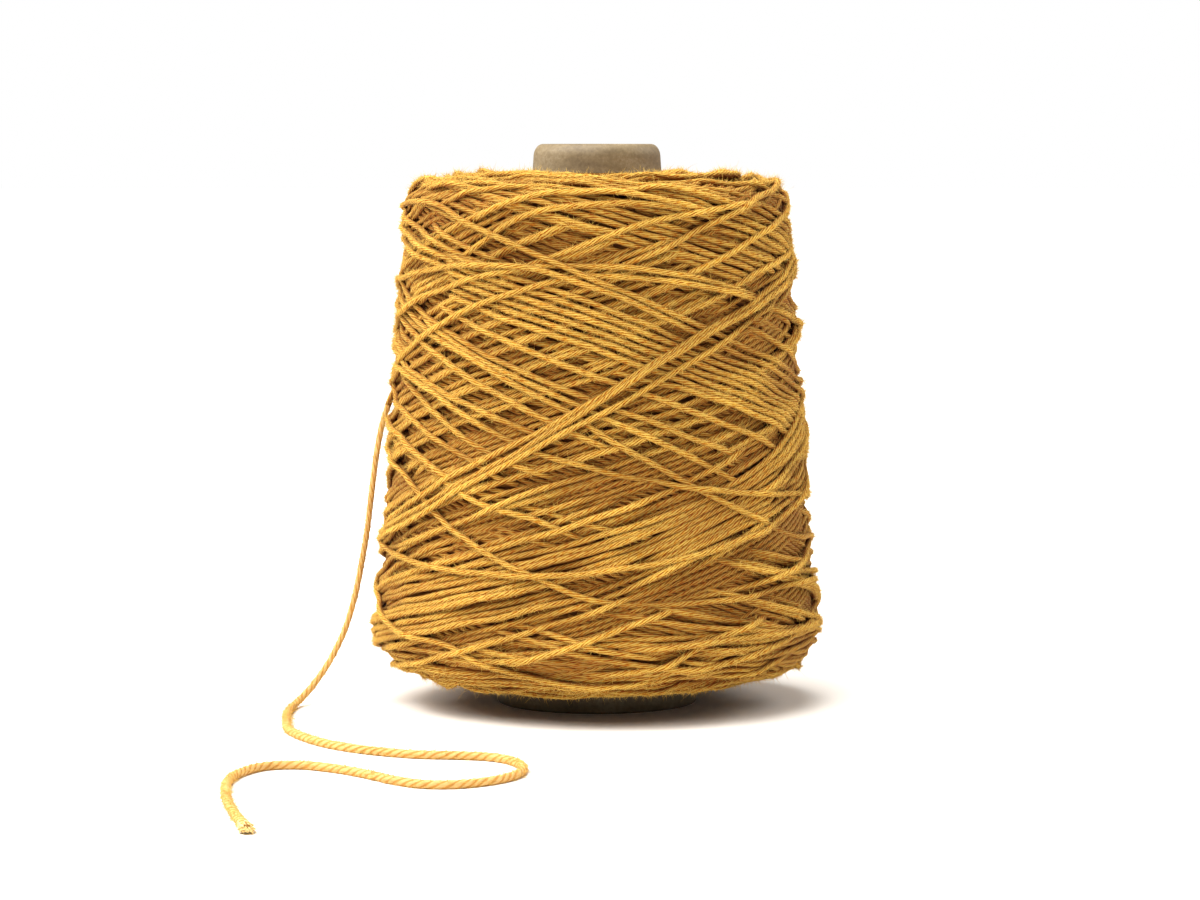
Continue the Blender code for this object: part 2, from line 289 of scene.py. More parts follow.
class Winding:
    """Strands laid one after another; tops holds how high the yarn stands so far."""

    def __init__(self):
        self.rows = int(Outline.length / GRID_ROW) + 1
        self.tops = np.zeros((self.rows, GRID_COLUMNS))
        self.waiting = None
        self.random = np.random.default_rng(RANDOM_SEED)

    def cells(self, angle, way):
        rows = np.clip(np.rint(way / GRID_ROW).astype(int), 0, self.rows - 1)
        return rows, np.rint(angle / math.tau * GRID_COLUMNS).astype(int) % GRID_COLUMNS

    def footprint(self, angle, way, count):
        """The places under a strand's width and how far its underside rises there."""
        radius = radius_at(way)
        round_step = np.gradient(angle) * radius
        way_step = np.gradient(way)
        size = np.hypot(round_step, way_step)
        off = np.linspace(-FOOT, FOOT, count)
        angles = angle[:, None] - off * (way_step / size / radius)[:, None]
        ways = way[:, None] + off * (round_step / size)[:, None]
        return self.cells(angles, ways), SETTLED * np.sqrt(1 - (off / YARN_HALF_WIDTH) ** 2)

    def stamp(self, angle, way, lift):
        """Adds a laid strand to the tops."""
        fine = np.linspace(0, len(angle) - 1, CROWN_FINE * len(angle))
        index = np.arange(len(angle))
        angle, way, lift = (np.interp(fine, index, values) for values in (angle, way, lift))
        cells, rise = self.footprint(angle, way, CROWN_PLACES)
        np.maximum.at(self.tops, cells, lift[:, None] + rise)

    def lay(self, angle, way, sink=(True, True), follows=None, goes_on=False):
        """Lays a strand over what is there and returns its path as (angle, way, lift).

        follows is the lift at which the strand before it stopped, where the same strand goes
        on, and goes_on says that the next one will.
        """
        angle, way = even_path(angle, way)
        travel = np.arange(len(way)) * PATH_STEP
        ends = np.minimum(1, np.minimum(travel, travel[::-1]) / TAIL)
        for length in self.random.uniform(*WAVER_LENGTHS, 2):
            way = way + WAVER * ends * np.sin(math.tau * (travel / length + self.random.random()))
        cells, rise = self.footprint(angle, way, FOOT_PLACES)
        rest = (self.tops[cells] + rise).max(axis=1)
        points = on_surface(angle, way)
        run = np.gradient(points, PATH_STEP, axis=0)
        turn = np.gradient(run, PATH_STEP, axis=0)
        bend = np.maximum(-(turn * outwards(angle, way)).sum(axis=1), LEAST_BEND)
        fall = np.cumsum(np.cumsum(bend + SLACK)) * PATH_STEP**2
        lift = soften(pulled_tight(rest - fall) + fall, SOFTNESS)
        if follows is not None:
            lift += (follows - lift[0]) * np.clip(1 - travel / TAIL, 0, 1)
        for at_end, sunk in enumerate(sink):
            if sunk:
                away = travel[::-1] if at_end else travel
                lift -= SINK_DEPTH * np.clip(1 - away / SINK_LENGTH, 0, 1) ** SINK_CURVE
        if self.waiting is not None:
            self.stamp(*self.waiting)
            self.waiting = None
        tail = int(TAIL / PATH_STEP) if goes_on else 0
        if tail:
            self.waiting = (angle[-tail:], way[-tail:], lift[-tail:])
            self.stamp(angle[:-tail], way[:-tail], lift[:-tail])
        else:
            self.stamp(angle, way, lift)
        return angle, way, lift

    def near(self, pick, reach):
        """Each cell's highest or lowest top within reach, as pick is np.maximum or np.minimum."""
        cells = int(reach / GRID_ROW)
        rows = np.pad(self.tops, ((cells, cells), (0, 0)), mode="edge")
        rows = pick.reduce([rows[k : k + self.rows] for k in range(2 * cells + 1)])
        return pick.reduce([np.roll(rows, k, axis=1) for k in range(-cells, cells + 1)])

    def level(self):
        """How high the topmost strands lie, evened out over a wide reach, over the grid."""
        around = np.fft.fftfreq(GRID_COLUMNS) * GRID_COLUMNS
        reach = LEVEL_ROUND / radius_at(np.arange(self.rows) * GRID_ROW)
        smooth = np.fft.fft(self.near(np.maximum, TOP_REACH), axis=1)
        smooth = np.fft.ifft(smooth * np.exp(-0.5 * (around * reach[:, None]) ** 2), axis=1).real
        return np.stack([soften(column, LEVEL_ALONG, GRID_ROW) for column in smooth.T], axis=1)

    def fill_up(self):
        """Takes gaps deeper than HOLE_DEPTH as filled by older turns."""
        self.ground = self.level() - HOLE_DEPTH
        self.tops = np.maximum(self.tops, self.ground)

    def seen_parts(self, floor, path):
        """The stretches of a laid path that aren't buried, as separate paths."""
        angle, way, lift = path
        return stretches(lift + SETTLED > floor[self.cells(angle, way)] - BURIED_DEPTH, path)

    def open_share(self):
        """How much of the surroundings of each cell is a gap that ends at the fill."""
        filled_up = self.tops < self.ground + GAP_RISE
        cells = int(OPEN_REACH / GRID_ROW)
        rows = np.pad(filled_up.astype(float), ((cells, cells), (0, 0)))
        rows = np.mean([rows[k : k + self.rows] for k in range(2 * cells + 1)], axis=0)
        return np.mean([np.roll(rows, k, axis=1) for k in range(-cells, cells + 1)], axis=0)

    def sample(self, table, angle, way):
        """A table's value at each place, between its cells."""
        row = np.clip(way / GRID_ROW, 0, self.rows - 1.001)
        column = angle / math.tau * GRID_COLUMNS
        r0, c0 = np.floor(row).astype(int), np.floor(column).astype(int)
        fr, fc = row - r0, column - c0
        near, far = c0 % GRID_COLUMNS, (c0 + 1) % GRID_COLUMNS
        low = table[r0, near] * (1 - fc) + table[r0, far] * fc
        high = table[r0 + 1, near] * (1 - fc) + table[r0 + 1, far] * fc
        return low * (1 - fr) + high * fr


# ---------------------------------------------------------------- the turns of this cone

# Turns laid by the winder: to and fro between the two ends, some strokes side by side.
RUNS = 24
RUN_STROKES = (10, 18)  # a run has fewer than the second number
RUN_TRIALS = 40
RUN_DRIFT = (0.0072, 0.0096)  # of a turn, from one stroke to the next one beside it
DRIFT_TRIALS = 9
TURNS_BOTH_WAYS = 3.0  # in a stroke and the next one back together
TURNS_ONE_WAY = (1.2, 1.8)
JUMP_TURNS = (1.1, 1.9)  # in the first stroke of a run
TOP_TURN_RADIUS = (31.0, 55.0)  # mm, where the yarn turns back on the top face
BOTTOM_TURN_RADIUS = (46.0, 61.0)
TRIAL_RADII = (50.0 * MM, 56.0 * MM)  # where it is taken to turn back while a run is being chosen
TURN_ROUNDING = 0.07  # of a stroke, over which it bends into the turn at each end
STROKE_POINTS = 500
STROKE_WOBBLE = 0.7 * MM
WOBBLE_WAVES = (2, 4)

# The strands that lie on top, each given as (degrees from the front towards +X, height in mm).
# A band is its first and its last strand, their number and how uneven they lie. The lattice is
# an older course that shows in the gaps of the others.
BAND = "band"
LATTICE_BAND = (
    ((-86, 99), (-30, 122), (20, 142)),
    ((-86, 36), (-30, 59), (20, 75), (62, 89)),
    24,
    0.4,
)
UPPER_BAND = (
    ((-47, 137.5), (1, 123.5), (43, 105.5), (75, 94.5)),
    ((-46, 125.5), (1, 110.5), (42, 94.5), (73, 84.5)),
    6,
    0.0,
)
LOWER_BAND = (
    ((-79, 36), (-12, 53), (41, 71), (58, 79.5), (76, 89)),
    ((-82, 17), (-12, 34), (40, 56), (58, 61.5), (76, 63.5)),
    10,
    0.15,
)
FIRST_STRANDS = (
    ((-87, 149.5), (-70, 146), (-28, 133)),
    ((-87, 145.5), (-35, 133.5)),
    ((-87, 140.5), (-63, 137), (-42, 131.5)),
    ((-57, 146), (-28, 135.5)),
)
MIDDLE_STRANDS = (
    ((6, 104), (29, 97.5), (70, 82.5)),
    ((-50, 122.5), (57, 80.5)),
    ((-68, 123.5), (38, 80)),
    ((-57, 117.5), (-4, 94), (45, 69.5)),
    ((-71, 116), (-49, 107.5), (1, 83)),
    ((-73, 105.5), (-40, 95), (-10, 83.5)),
    ((-87, 104), (-57, 94.5), (-33, 81), (-15, 74.5)),
    ((-87, 97), (-79, 93), (-65, 90), (-26, 72.5)),
    ((-87, 86), (-69, 83), (-43, 72)),
    ((-46, 71.5), (-32, 65.5), (-15, 61), (-4, 56)),
    ((1, 39.5), (53, 27.5), (71, 25.5)),
    ((-9, 37), (26, 30), (58, 25.5)),
    ((-25, 31.5), (-12, 29), (1, 23.5), (16, 21)),
    ((-33, 31), (6, 20), (21, 17.5), (73, 27)),
    ((34, 54.5), (56, 48), (82, 43.5)),
    ((27, 51), (47, 45), (88, 40.5)),
    ((-19, 20), (18, 34.5)),
    ((1, 16), (16, 18.5), (32, 26.5), (45, 30)),
)
ABOVE_LOWER_BAND = (
    ((-78, 48), (-54, 53.5), (-15, 70), (17, 81.5)),
    ((-88, 34), (-20, 55), (28, 73), (42, 80)),
    ((49, 67.5), (87, 83)),
    ((15, 37), (39, 40), (57, 43), (86, 49)),
    ((10, 24), (38, 25.5), (86, 26)),
    ((32, 40), (50, 34.5), (86, 25)),
    ((50, 116), (70, 108), (88, 103)),
    ((56, 118), (72, 124), (88, 129)),
    ((-60, 116.5), (-37, 107.5), (-7, 92), (6, 83), (48, 59.5), (69, 53), (87, 51)),
    ((-87, 78.5), (-68, 73.5), (-47, 60.5), (-19, 46), (1, 38), (33, 37), (66, 39.5), (80, 39)),
    ((-81, 32), (-55, 24), (-43, 24), (-25, 17), (-15, 14), (12, 13.5)),
)
LAST_STRANDS = (
    ((-54, 152.5), (-38, 156.5), (-18, 158), (1, 156.5), (20, 157), (49, 151)),
    ((-39, 139), (-22, 149), (-5, 152.5), (7, 153), (31, 150), (68, 138.5)),
    ((-36, 149), (-23, 154), (-5, 156), (19, 154), (36, 149.5)),
    ((-22, 134), (12, 146.5), (39, 151.5), (57, 152.5)),
    ((30, 123), (60, 134.5), (80, 138.5)),
    ((37, 121.5), (66, 131.5), (83, 135)),
    ((18, 128.5), (55, 143.5), (87, 152)),
    ((1, 132), (50, 152.5), (68, 156), (88, 158)),
    ((-72, 120.5), (-35, 131.5), (-16, 134.5), (1, 135), (30, 131), (73, 119.5)),
    ((-72, 105.5), (-54, 115), (-34, 123.5), (-10, 131), (1, 132), (30, 129), (68, 120)),
    ((-87, 152), (-60, 153), (-53, 151.5), (-22, 140), (52, 108.5), (78, 101)),
    ((-84, 129), (-35, 135), (-16, 133.5), (1, 128), (43, 109), (77, 97.5)),
    ((-87, 105), (-65, 101.5), (-48, 96), (-21, 82.5), (28, 70), (87, 64)),
    ((-79, 13), (-53, 17), (-36, 22), (16, 42), (48, 58.5)),
    ((-87, 49), (-31, 45), (-9, 45.5), (22, 50), (57, 59), (76, 66.5)),
    ((-66, 60.5), (-10, 90), (23, 111), (66, 130)),
    ((-87, 52), (-65, 58), (-54, 63), (-21, 81), (23, 110), (53, 123), (76, 131)),
    ((-87, 50), (-65, 55.5), (-54, 60.5), (36, 111.5), (65, 124), (75, 127)),
)
# Lowest first.
HAND_LAID = (
    (BAND, *LATTICE_BAND),
    FIRST_STRANDS,
    (BAND, *UPPER_BAND),
    MIDDLE_STRANDS,
    (BAND, *LOWER_BAND),
    ABOVE_LOWER_BAND,
    LAST_STRANDS,
)
# The last turn comes round the back and down to where the loose end leaves the cone.
LAST_TURN = (
    (-215, 138), (-190, 129.5), (-165, 121), (-145, 114.5), (-128, 108.5),
    (-114, 102.5), (-104.5, 97), (-98.8, 92.8), (-96.23, 90.0),
)
SIDE_RADIUS = 63.0 * MM
SIDE_POINTS = 60
BUNDLING = 2.2  # radians a strand: in an uneven band about every third gap is wider
FRONT = math.radians(60.0)  # an end nearer to the front dives under the strands that hide it
END_POINTS = 3  # points back from its end, between which a strand's course there is taken
REACH_ON = math.radians(150.0)  # how far round each listed strand goes on beyond its points
GO_ON_STEP = math.radians(1.5)
UNDER = 5.0 * MM  # how far an end that dives goes on beneath the strands that hide it
TURN_BEND = 4.0 * MM  # how far the bend of a turn on an end face is spread
SLOPE_LIMITS = (0.18, 0.42)

# The turns that show on the two end faces and round the lower corner between the side and the
# bottom face: rings of arcs about the bore, whose ends sink in.
ARC_SPANS = (60.0, 115.0)  # degrees
ARC_STEP = (0.82, 0.95)  # of an arc, after which the next one starts
ARC_POINTS = 60
FACE_PITCH = 1.6  # mm
FACE_LEAN = 4.5  # mm, how far an arc strays from its circle
TOP_FACE_RADII = (23.5, 43.0)
BOTTOM_FACE_RADII = (39.0, 52.0)
RIM_TOP = 27.0 * MM  # the height up to which the arcs of the lower corner reach
RIM_INSIDE = 52.0 * MM  # and their least radius on the bottom face
RIM_PITCH = 2.0
RIM_LEAN = 9.0

# Older turns where the gaps end, in two courses: turns from top to bottom, rise over the fill,
# rows, and how many rows of each bundle are kept.
DEEP_COURSES = ((1.35, -0.7 * MM, 78, 12), (-1.6, 0.2 * MM, 68, 6))
DEEP_BUNDLE = 12
DEEP_RADII = (36.0 * MM, 46.0 * MM)  # on the top and the bottom face, between which they run
DEEP_WAVES = 5


def stroke_share(u, rounding=TURN_ROUNDING):
    """How much of a stroke is done at u from 0 to 1: steady, but rounded at both ends."""
    steady = (u - rounding / 2) / (1 - rounding)
    starting = u**2 / (2 * rounding * (1 - rounding))
    stopping = 1 - (1 - u) ** 2 / (2 * rounding * (1 - rounding))
    return np.where(u < rounding, starting, np.where(u > 1 - rounding, stopping, steady))


def stroke_path(angle, way, turns, way_there):
    """One stroke from an end face to the other, as (angle, way)."""
    u = np.linspace(0, 1, STROKE_POINTS)
    return angle + math.tau * turns * u, way + (way_there - way) * stroke_share(u)


def filled(winding, path):
    """How high the yarn already stands along a path, on average."""
    return winding.tops[winding.cells(*path)].mean()


def choose_run(winding, random, angle, at_top):
    """The turns of a jump and of the strokes after it that pass where the yarn stands lowest."""
    ends = [way_at_radius(radius, top) for radius, top in zip(TRIAL_RADII, (True, False))]
    here, there = ends if at_top else ends[::-1]
    trials = []
    for trial in range(RUN_TRIALS):
        jump = random.uniform(*JUMP_TURNS)
        one_way = random.uniform(*TURNS_ONE_WAY)
        first = stroke_path(angle, here, jump, there)
        second = stroke_path(first[0][-1], there, one_way, here)
        third = stroke_path(second[0][-1], here, TURNS_BOTH_WAYS - one_way, there)
        height = sum(filled(winding, path) for path in (first, second, third))
        trials.append((height, jump, one_way))
    return min(trials)[1:]


def wind_strokes(winding, random):
    """Lays the winder's strokes and returns one path per stroke.

    Each run starts where the yarn stands lowest, as a winder fills a package evenly.
    """
    paths = []
    angle = 0.0
    at_top = False
    way_here = way_at_radius(BOTTOM_TURN_RADIUS[1] * MM, top=False)
    lift = None
    for run in range(RUNS):
        winding.fill_up()
        jump, one_way = choose_run(winding, random, angle, at_top)
        side = random.choice((-1, 1))
        for stroke in range(random.integers(*RUN_STROKES)):
            base = one_way if stroke % 2 else TURNS_BOTH_WAYS - one_way
            limits = BOTTOM_TURN_RADIUS if at_top else TOP_TURN_RADIUS
            at_top = not at_top
            way_there = way_at_radius(random.uniform(*limits) * MM, top=at_top)
            drifts = side * np.linspace(*RUN_DRIFT, DRIFT_TRIALS)
            choices = [base + drift for drift in drifts] if stroke else [jump]
            tried = [stroke_path(angle, way_here, turns, way_there) for turns in choices]
            round_path, way = min(tried, key=lambda path: filled(winding, path))
            u = np.linspace(0, 1, len(way))
            waves = random.uniform(*WOBBLE_WAVES) * u + random.random()
            way = way + STROKE_WOBBLE * np.sin(math.tau * waves) * np.sin(math.pi * u)
            sink = (lift is None, False)
            path = winding.lay(round_path, way, sink=sink, follows=lift, goes_on=True)
            paths.append(path)
            angle = round_path[-1]
            way_here = way_there
            lift = path[2][-1]
    return paths


def go_on(angle, way, side, slope, random):
    """Points of a strand that runs on from one end, to and fro between the two end faces."""
    top = way_at_radius(random.uniform(*TOP_TURN_RADIUS) * MM)
    bottom = way_at_radius(random.uniform(*BOTTOM_TURN_RADIUS) * MM, top=False)
    reach = np.arange(1, int(REACH_ON / GO_ON_STEP)) * GO_ON_STEP
    span = bottom - top
    there = np.mod(way + slope * SIDE_RADIUS * reach - top, 2 * span)
    return list(zip(angle + side * reach, top + np.minimum(there, 2 * span - there)))


def side_curve(points):
    """A smooth path on the side through points of (degrees, mm)."""
    angle = np.radians([degrees for degrees, _ in points])
    way = way_at_height([height * MM for _, height in points])
    curve = smooth_curve(np.stack([angle * SIDE_RADIUS, way], axis=1), SIDE_POINTS)
    return curve[:, 0] / SIDE_RADIUS, curve[:, 1]


def hand_laid_path(points, random):
    """A strand through points of (degrees, mm), with both ends led on to the faces or the back."""
    angle, way = side_curve(points)
    ends = []
    for inner, outer, side in ((END_POINTS, 0, -1), (-1 - END_POINTS, -1, 1)):
        turned, fallen = angle[outer] - angle[inner], way[outer] - way[inner]
        if abs(angle[outer]) < FRONT:
            further = UNDER / math.hypot(SIDE_RADIUS * turned, fallen)
            ends.append([(angle[outer] + further * turned, way[outer] + further * fallen)])
            continue
        slope = fallen / (abs(turned) * SIDE_RADIUS)
        steep = np.sign(slope) * np.clip(abs(slope), *SLOPE_LIMITS)
        ends.append(go_on(angle[outer], way[outer], side, steep, random))
    before, after = ends
    angle, way = even_path(*np.array([*before[::-1], *zip(angle, way), *after]).T)
    return angle, soften(way, TURN_BEND)


def band_strands(first, last, count, uneven):
    """count strands from the first to the last, some closer together than others."""
    size = max(len(first), len(last))
    first, last = (smooth_curve(points, size) for points in (first, last))
    places = [k + uneven * math.sin(BUNDLING * k) for k in range(count)]
    return [first + (last - first) * place / (count - 1) for place in places]


def wind_hand_laid(winding, random):
    """Lays the strands that the photograph shows on top, and returns their paths by group."""
    groups = []
    for group in HAND_LAID:
        strands = band_strands(*group[1:]) if group[0] == BAND else group
        winding.fill_up()
        groups.append([winding.lay(*hand_laid_path(points, random)) for points in strands])
    return groups


def wind_arcs(winding, random, places, pitch, most_lean, way_at):
    """Lays rings of arcs between two places and returns their paths.

    way_at gives the way at a place, such as a radius.
    """
    paths = []
    for place in np.arange(*places, pitch):
        start = random.uniform(0, math.tau)
        reached = 0.0
        while reached < math.tau:
            arc = math.radians(random.uniform(*ARC_SPANS))
            u = np.linspace(0, 1, ARC_POINTS)
            lean = random.uniform(-most_lean, most_lean)
            bow = random.uniform(0, most_lean) * 0.5 * np.sin(math.pi * u)
            along = np.clip(place + lean * (u - 0.5) + bow, *places)
            paths.append(winding.lay(start + reached + arc * u, way_at(along * MM)))
            reached += arc * random.uniform(*ARC_STEP)
    return paths


def wind_face(winding, random, radii, top):
    """Lays the arcs of an end face, from the bore outwards, and returns their paths."""

    def way_at(radius):
        return way_at_radius(radius, top)

    return wind_arcs(winding, random, radii, FACE_PITCH, FACE_LEAN, way_at)


def wind_rim(winding, random):
    """Lays the arcs round the lower corner of the package, and returns their paths."""
    ways = way_at_height(RIM_TOP) / MM, way_at_radius(RIM_INSIDE, top=False) / MM
    return wind_arcs(winding, random, ways, RIM_PITCH, RIM_LEAN, lambda way: way)


def deep_turns(winding, random):
    """Turns at the bottom of the deepest gaps: rows one way, with bundles across them."""
    paths = []
    open_share = winding.open_share()
    top, bottom = (way_at_radius(radius, top) for radius, top in zip(DEEP_RADII, (True, False)))
    for turns, rise, rows, kept in DEEP_COURSES:
        for row in range(rows):
            if row % DEEP_BUNDLE >= kept:
                continue
            angle, way = even_path(*stroke_path(math.tau * row / rows, top, turns, bottom))
            waves = np.linspace(0, DEEP_WAVES, len(way)) + random.random()
            way = way + WAVER * np.sin(math.tau * waves)
            path = (angle, way, winding.sample(winding.ground, angle, way) + rise)
            paths += stretches(open_share[winding.cells(angle, way)] > OPEN_SHARE, path)
    return paths


# ---------------------------------------------------------------- strand meshes

SEGMENT = 2.5 * MM  # length of a strand between two rings
STRAND_SHADES = (0.84, 1.06)
STRAND_SIZES = (0.95, 1.06)
SWELL = 0.03  # of its thickness, by which a strand swells and thins in each of two waves
SWELL_LENGTHS = (17.0 * MM, 8.0 * MM)
LUMPS = 0.02  # the yarn's own unevenness
LEAVING_LENGTH = 24.0 * MM  # over which the last turn bends off the others
# Where the last turn leaves the others it lies in the open, so its painted depth shade is lifted.
LEAVING_SHADES = (-6.0, 0.95)  # it is never darker than the line from one to the other along it
# Painted shade: how light a strand is drawn by how deep it lies, darker between the turns,
# where the turns above would shade it.
PAINTED_DEPTH_SHADES = (
    (-5.2 * MM, -4.2 * MM, -2.4 * MM, -1.0 * MM, 0.6 * MM),
    (0.34, 0.46, 0.62, 0.86, 1.08),
)


def new_object(name, mesh, material):
    thing = bpy.data.objects.new(name, mesh)
    bpy.context.scene.collection.objects.link(thing)
    mesh.materials.append(material)
    return thing


def mesh_from_faces(name, points, corners, sizes, uvs, shades):
    """A smooth mesh from arrays: points, each face's corners in turn and the faces' sizes."""
    mesh = bpy.data.meshes.new(name)
    mesh.vertices.add(len(points))
    mesh.vertices.foreach_set("co", np.ascontiguousarray(points, np.float32).ravel())
    mesh.loops.add(len(corners))
    mesh.loops.foreach_set("vertex_index", corners.astype(np.int32))
    mesh.polygons.add(len(sizes))
    starts = np.concatenate([[0], np.cumsum(sizes)[:-1]]).astype(np.int32)
    mesh.polygons.foreach_set("loop_start", starts)
    mesh.update(calc_edges=True)
    layer = mesh.uv_layers.new(name="UVMap")
    layer.uv.foreach_set("vector", np.ascontiguousarray(uvs, np.float32).ravel())
    shade = mesh.attributes.new("shade", "FLOAT", "POINT")
    shade.data.foreach_set("value", shades.astype(np.float32))
    mesh.polygons.foreach_set("use_smooth", np.ones(len(sizes), bool))
    mesh.validate()
    return mesh


def tube_rings(centres, normals, half_width, half_height, sides):
    """Rings of points about a path. The first point of each ring is on its underside."""
    along = unit(np.gradient(centres, axis=0))
    side = unit(np.cross(along, normals))
    up = np.cross(side, along)
    turn = np.arange(sides) / sides * math.tau - math.pi / 2
    wide = np.reshape(half_width, (-1, 1, 1)) * np.cos(turn)[None, :, None] * side[:, None]
    high = np.reshape(half_height, (-1, 1, 1)) * np.sin(turn)[None, :, None] * up[:, None]
    return centres[:, None] + wide + high


def joined_tubes(name, tubes, material):
    """One object of many closed tubes, each (rings, distances along it, shade).

    A tube's UV map has the share of the way round it and the distance along it in metres.
    """
    points, corners, sizes, uvs, shades = [], [], [], [], []
    first = 0
    for rings, travel, shade in tubes:
        count, sides = rings.shape[:2]
        ring = first + np.arange(count - 1)[:, None] * sides
        here = np.arange(sides)[None, :]
        there = (here + 1) % sides
        onward = ring + sides
        quads = np.stack([ring + here, onward + here, onward + there, ring + there], axis=-1)
        u0 = np.broadcast_to(here / sides, quads.shape[:2])
        u1 = u0 + 1 / sides
        v0, v1 = (np.broadcast_to(v[:, None], quads.shape[:2]) for v in (travel[:-1], travel[1:]))
        pairs = ((u0, v0), (u0, v1), (u1, v1), (u1, v0))
        caps = [first + np.arange(sides), first + (count - 1) * sides + np.arange(sides)[::-1]]
        points.append(rings.reshape(-1, 3))
        corners += [quads.ravel(), *caps]
        sizes.append(np.concatenate([np.full(quads.shape[0] * sides, 4), [sides, sides]]))
        uvs.append(np.stack([np.stack(pair, axis=-1) for pair in pairs], axis=2).reshape(-1, 2))
        for cap, end in zip(caps, (0, -1)):
            uvs.append(np.stack([cap % sides / sides, np.full(sides, travel[end])], axis=1))
        shades.append(np.broadcast_to(np.reshape(shade, (-1, 1)), (count, sides)).ravel())
        first += count * sides
    arrays = (np.concatenate(rows) for rows in (points, corners, sizes, uvs, shades))
    return new_object(name, mesh_from_faces(name, *arrays), material)


def pressed(proud, way):
    """The height of a strand above the outline, from how proud it was laid."""
    above = MOST_PROUD * np.tanh(proud / MOST_PROUD)
    height = np.where(proud > 0, above, DEEPEST * np.expm1(proud / DEEPEST))
    return height + OUTLINE_OFFSET + np.interp(height_at(way), *FULLNESS)


def led_to_loose_end(centres):
    """The same path, but its last stretch bends off the cone to where the loose end begins."""
    goal, beyond = np.array(LOOSE_END_ROUTE[:2]) * MM
    kept = len(centres) - int(LEAVING_LENGTH / SEGMENT)
    start = centres[kept - 1]
    far = np.linalg.norm(goal - start)
    start_run = unit(start - centres[kept - 3]) * far
    goal_run = unit(beyond - goal) * far
    t = np.linspace(0, 1, len(centres) - kept + 1)[1:, None]
    bend = (2 * t**3 - 3 * t**2 + 1) * start + (t**3 - 2 * t**2 + t) * start_run
    bend += (3 * t**2 - 2 * t**3) * goal + (t**3 - t**2) * goal_run
    return np.concatenate([centres[:kept], bend])


def strand_tube(winding, level, path, sides, random, leaving=False):
    """A laid path as a tube for joined_tubes. One that is leaving runs on into the loose end."""
    last = len(path[0]) - 1
    count = max(3, int(len(path[0]) * PATH_STEP / SEGMENT))
    keep = np.unique(np.linspace(0, last, count, dtype=int))
    angle, way, lift = (values[keep] for values in path)
    proud = lift - winding.sample(level, angle, way)
    centres = on_surface(angle, way, pressed(proud, way))
    if leaving:
        centres = led_to_loose_end(centres)
    travel = travelled(centres)
    swell = sum(np.sin(math.tau * (travel / length + random.random())) for length in SWELL_LENGTHS)
    thick = random.uniform(*STRAND_SIZES) + SWELL * swell + random.normal(0.0, LUMPS, len(travel))
    half_width, half_height = YARN_HALF_WIDTH * thick, YARN_HALF_HEIGHT * thick
    rings = tube_rings(centres, outwards(angle, way), half_width, half_height, sides)
    # Painted shade: the strand's own random tone times a painted depth shade, darker the deeper it
    # lies.
    shade = random.uniform(*STRAND_SHADES) * np.interp(proud, *PAINTED_DEPTH_SHADES)
    if leaving:
        shade = np.maximum(shade, np.linspace(*LEAVING_SHADES, len(shade)))
    return rings, travel + random.uniform(0, WOUND_TURN), shade


# ---------------------------------------------------------------- loose fibres

FIBRE_CURL = 0.5  # of its length, how far its tip strays aside
FIBRE_TAPER = 0.5  # of its radius, how much thinner it gets towards its tip
FIBRE_SPREAD = 0.9  # radians from the crown of a strand
FIBRE_STRAY = 0.4  # how unevenly the fibres point
ROOT_DEPTH = 0.85  # of the strand's radius, where a fibre starts
HAIRY_SHADE = 0.72  # strands darker than this lie too deep for their fibres to show
# The fibres on the wound yarn, coarser than real ones, so that they show: their number, their
# lengths (least, how much longer on average, most), how much they lean along the strand (least,
# most), their radius, and where along each it has a ring of points.
PACKAGE_FIBRES = {
    "loose_fibres": (8000, (0.7 * MM, 1.0 * MM, 5.0 * MM), (0.3, 2.0), 0.05 * MM, (0.0, 0.5)),
    "nap": (48000, (0.7 * MM, 0.5 * MM, 2.4 * MM), (0.3, 2.0), 0.075 * MM, (0.0,)),
    "halo": (24000, (1.0 * MM, 0.7 * MM, 3.4 * MM), (0.0, 0.9), 0.055 * MM, (0.0,)),
}


def fibre_lengths(random, count, least, more, most):
    """Lengths from least to most, on average about more above least."""
    return np.minimum(least + random.exponential(more, count), most)


def make_fibres(name, roots, directions, lengths, thick, rings, random, material, lowest=-1.0):
    """One object of thin spikes of three sides, each from its root inside the yarn."""
    count = len(roots)
    aside = unit(np.cross(directions, unit(random.normal(size=(count, 3)))))
    curl = random.uniform(0, FIBRE_CURL, (count, 1))
    reach = lengths[:, None]
    other = np.cross(directions, aside)

    def middle(share):
        place = roots + reach * (directions * share + aside * curl * share**2)
        place[:, 2] = np.maximum(place[:, 2], lowest)
        return place

    points = []
    for share in rings:
        radius = thick * (1 - FIBRE_TAPER * share)
        for turn in (0, math.tau / 3, 2 * math.tau / 3):
            off = radius * (math.cos(turn) * aside + math.sin(turn) * other)
            points.append(middle(share) + off)
    points.append(middle(1.0))
    tip = len(points) - 1
    last = tip - 3  # where the last ring starts
    sides = [(k, (k + 1) % 3) for k in range(3)]
    faces = [(r + a, r + b, r + 3 + b, r + 3 + a) for r in range(0, last, 3) for a, b in sides]
    faces += [(last + a, last + b, tip) for a, b in sides] + [(2, 1, 0)]
    corners = np.array([corner for face in faces for corner in face])
    first = np.arange(count)[:, None] * len(points)
    mesh = mesh_from_faces(
        name,
        np.stack(points, axis=1).reshape(-1, 3),
        (first + corners).ravel(),
        np.tile([len(face) for face in faces], count),
        np.zeros((count * len(corners), 2)),
        np.ones(count * len(points)),
    )
    return new_object(name, mesh, material)


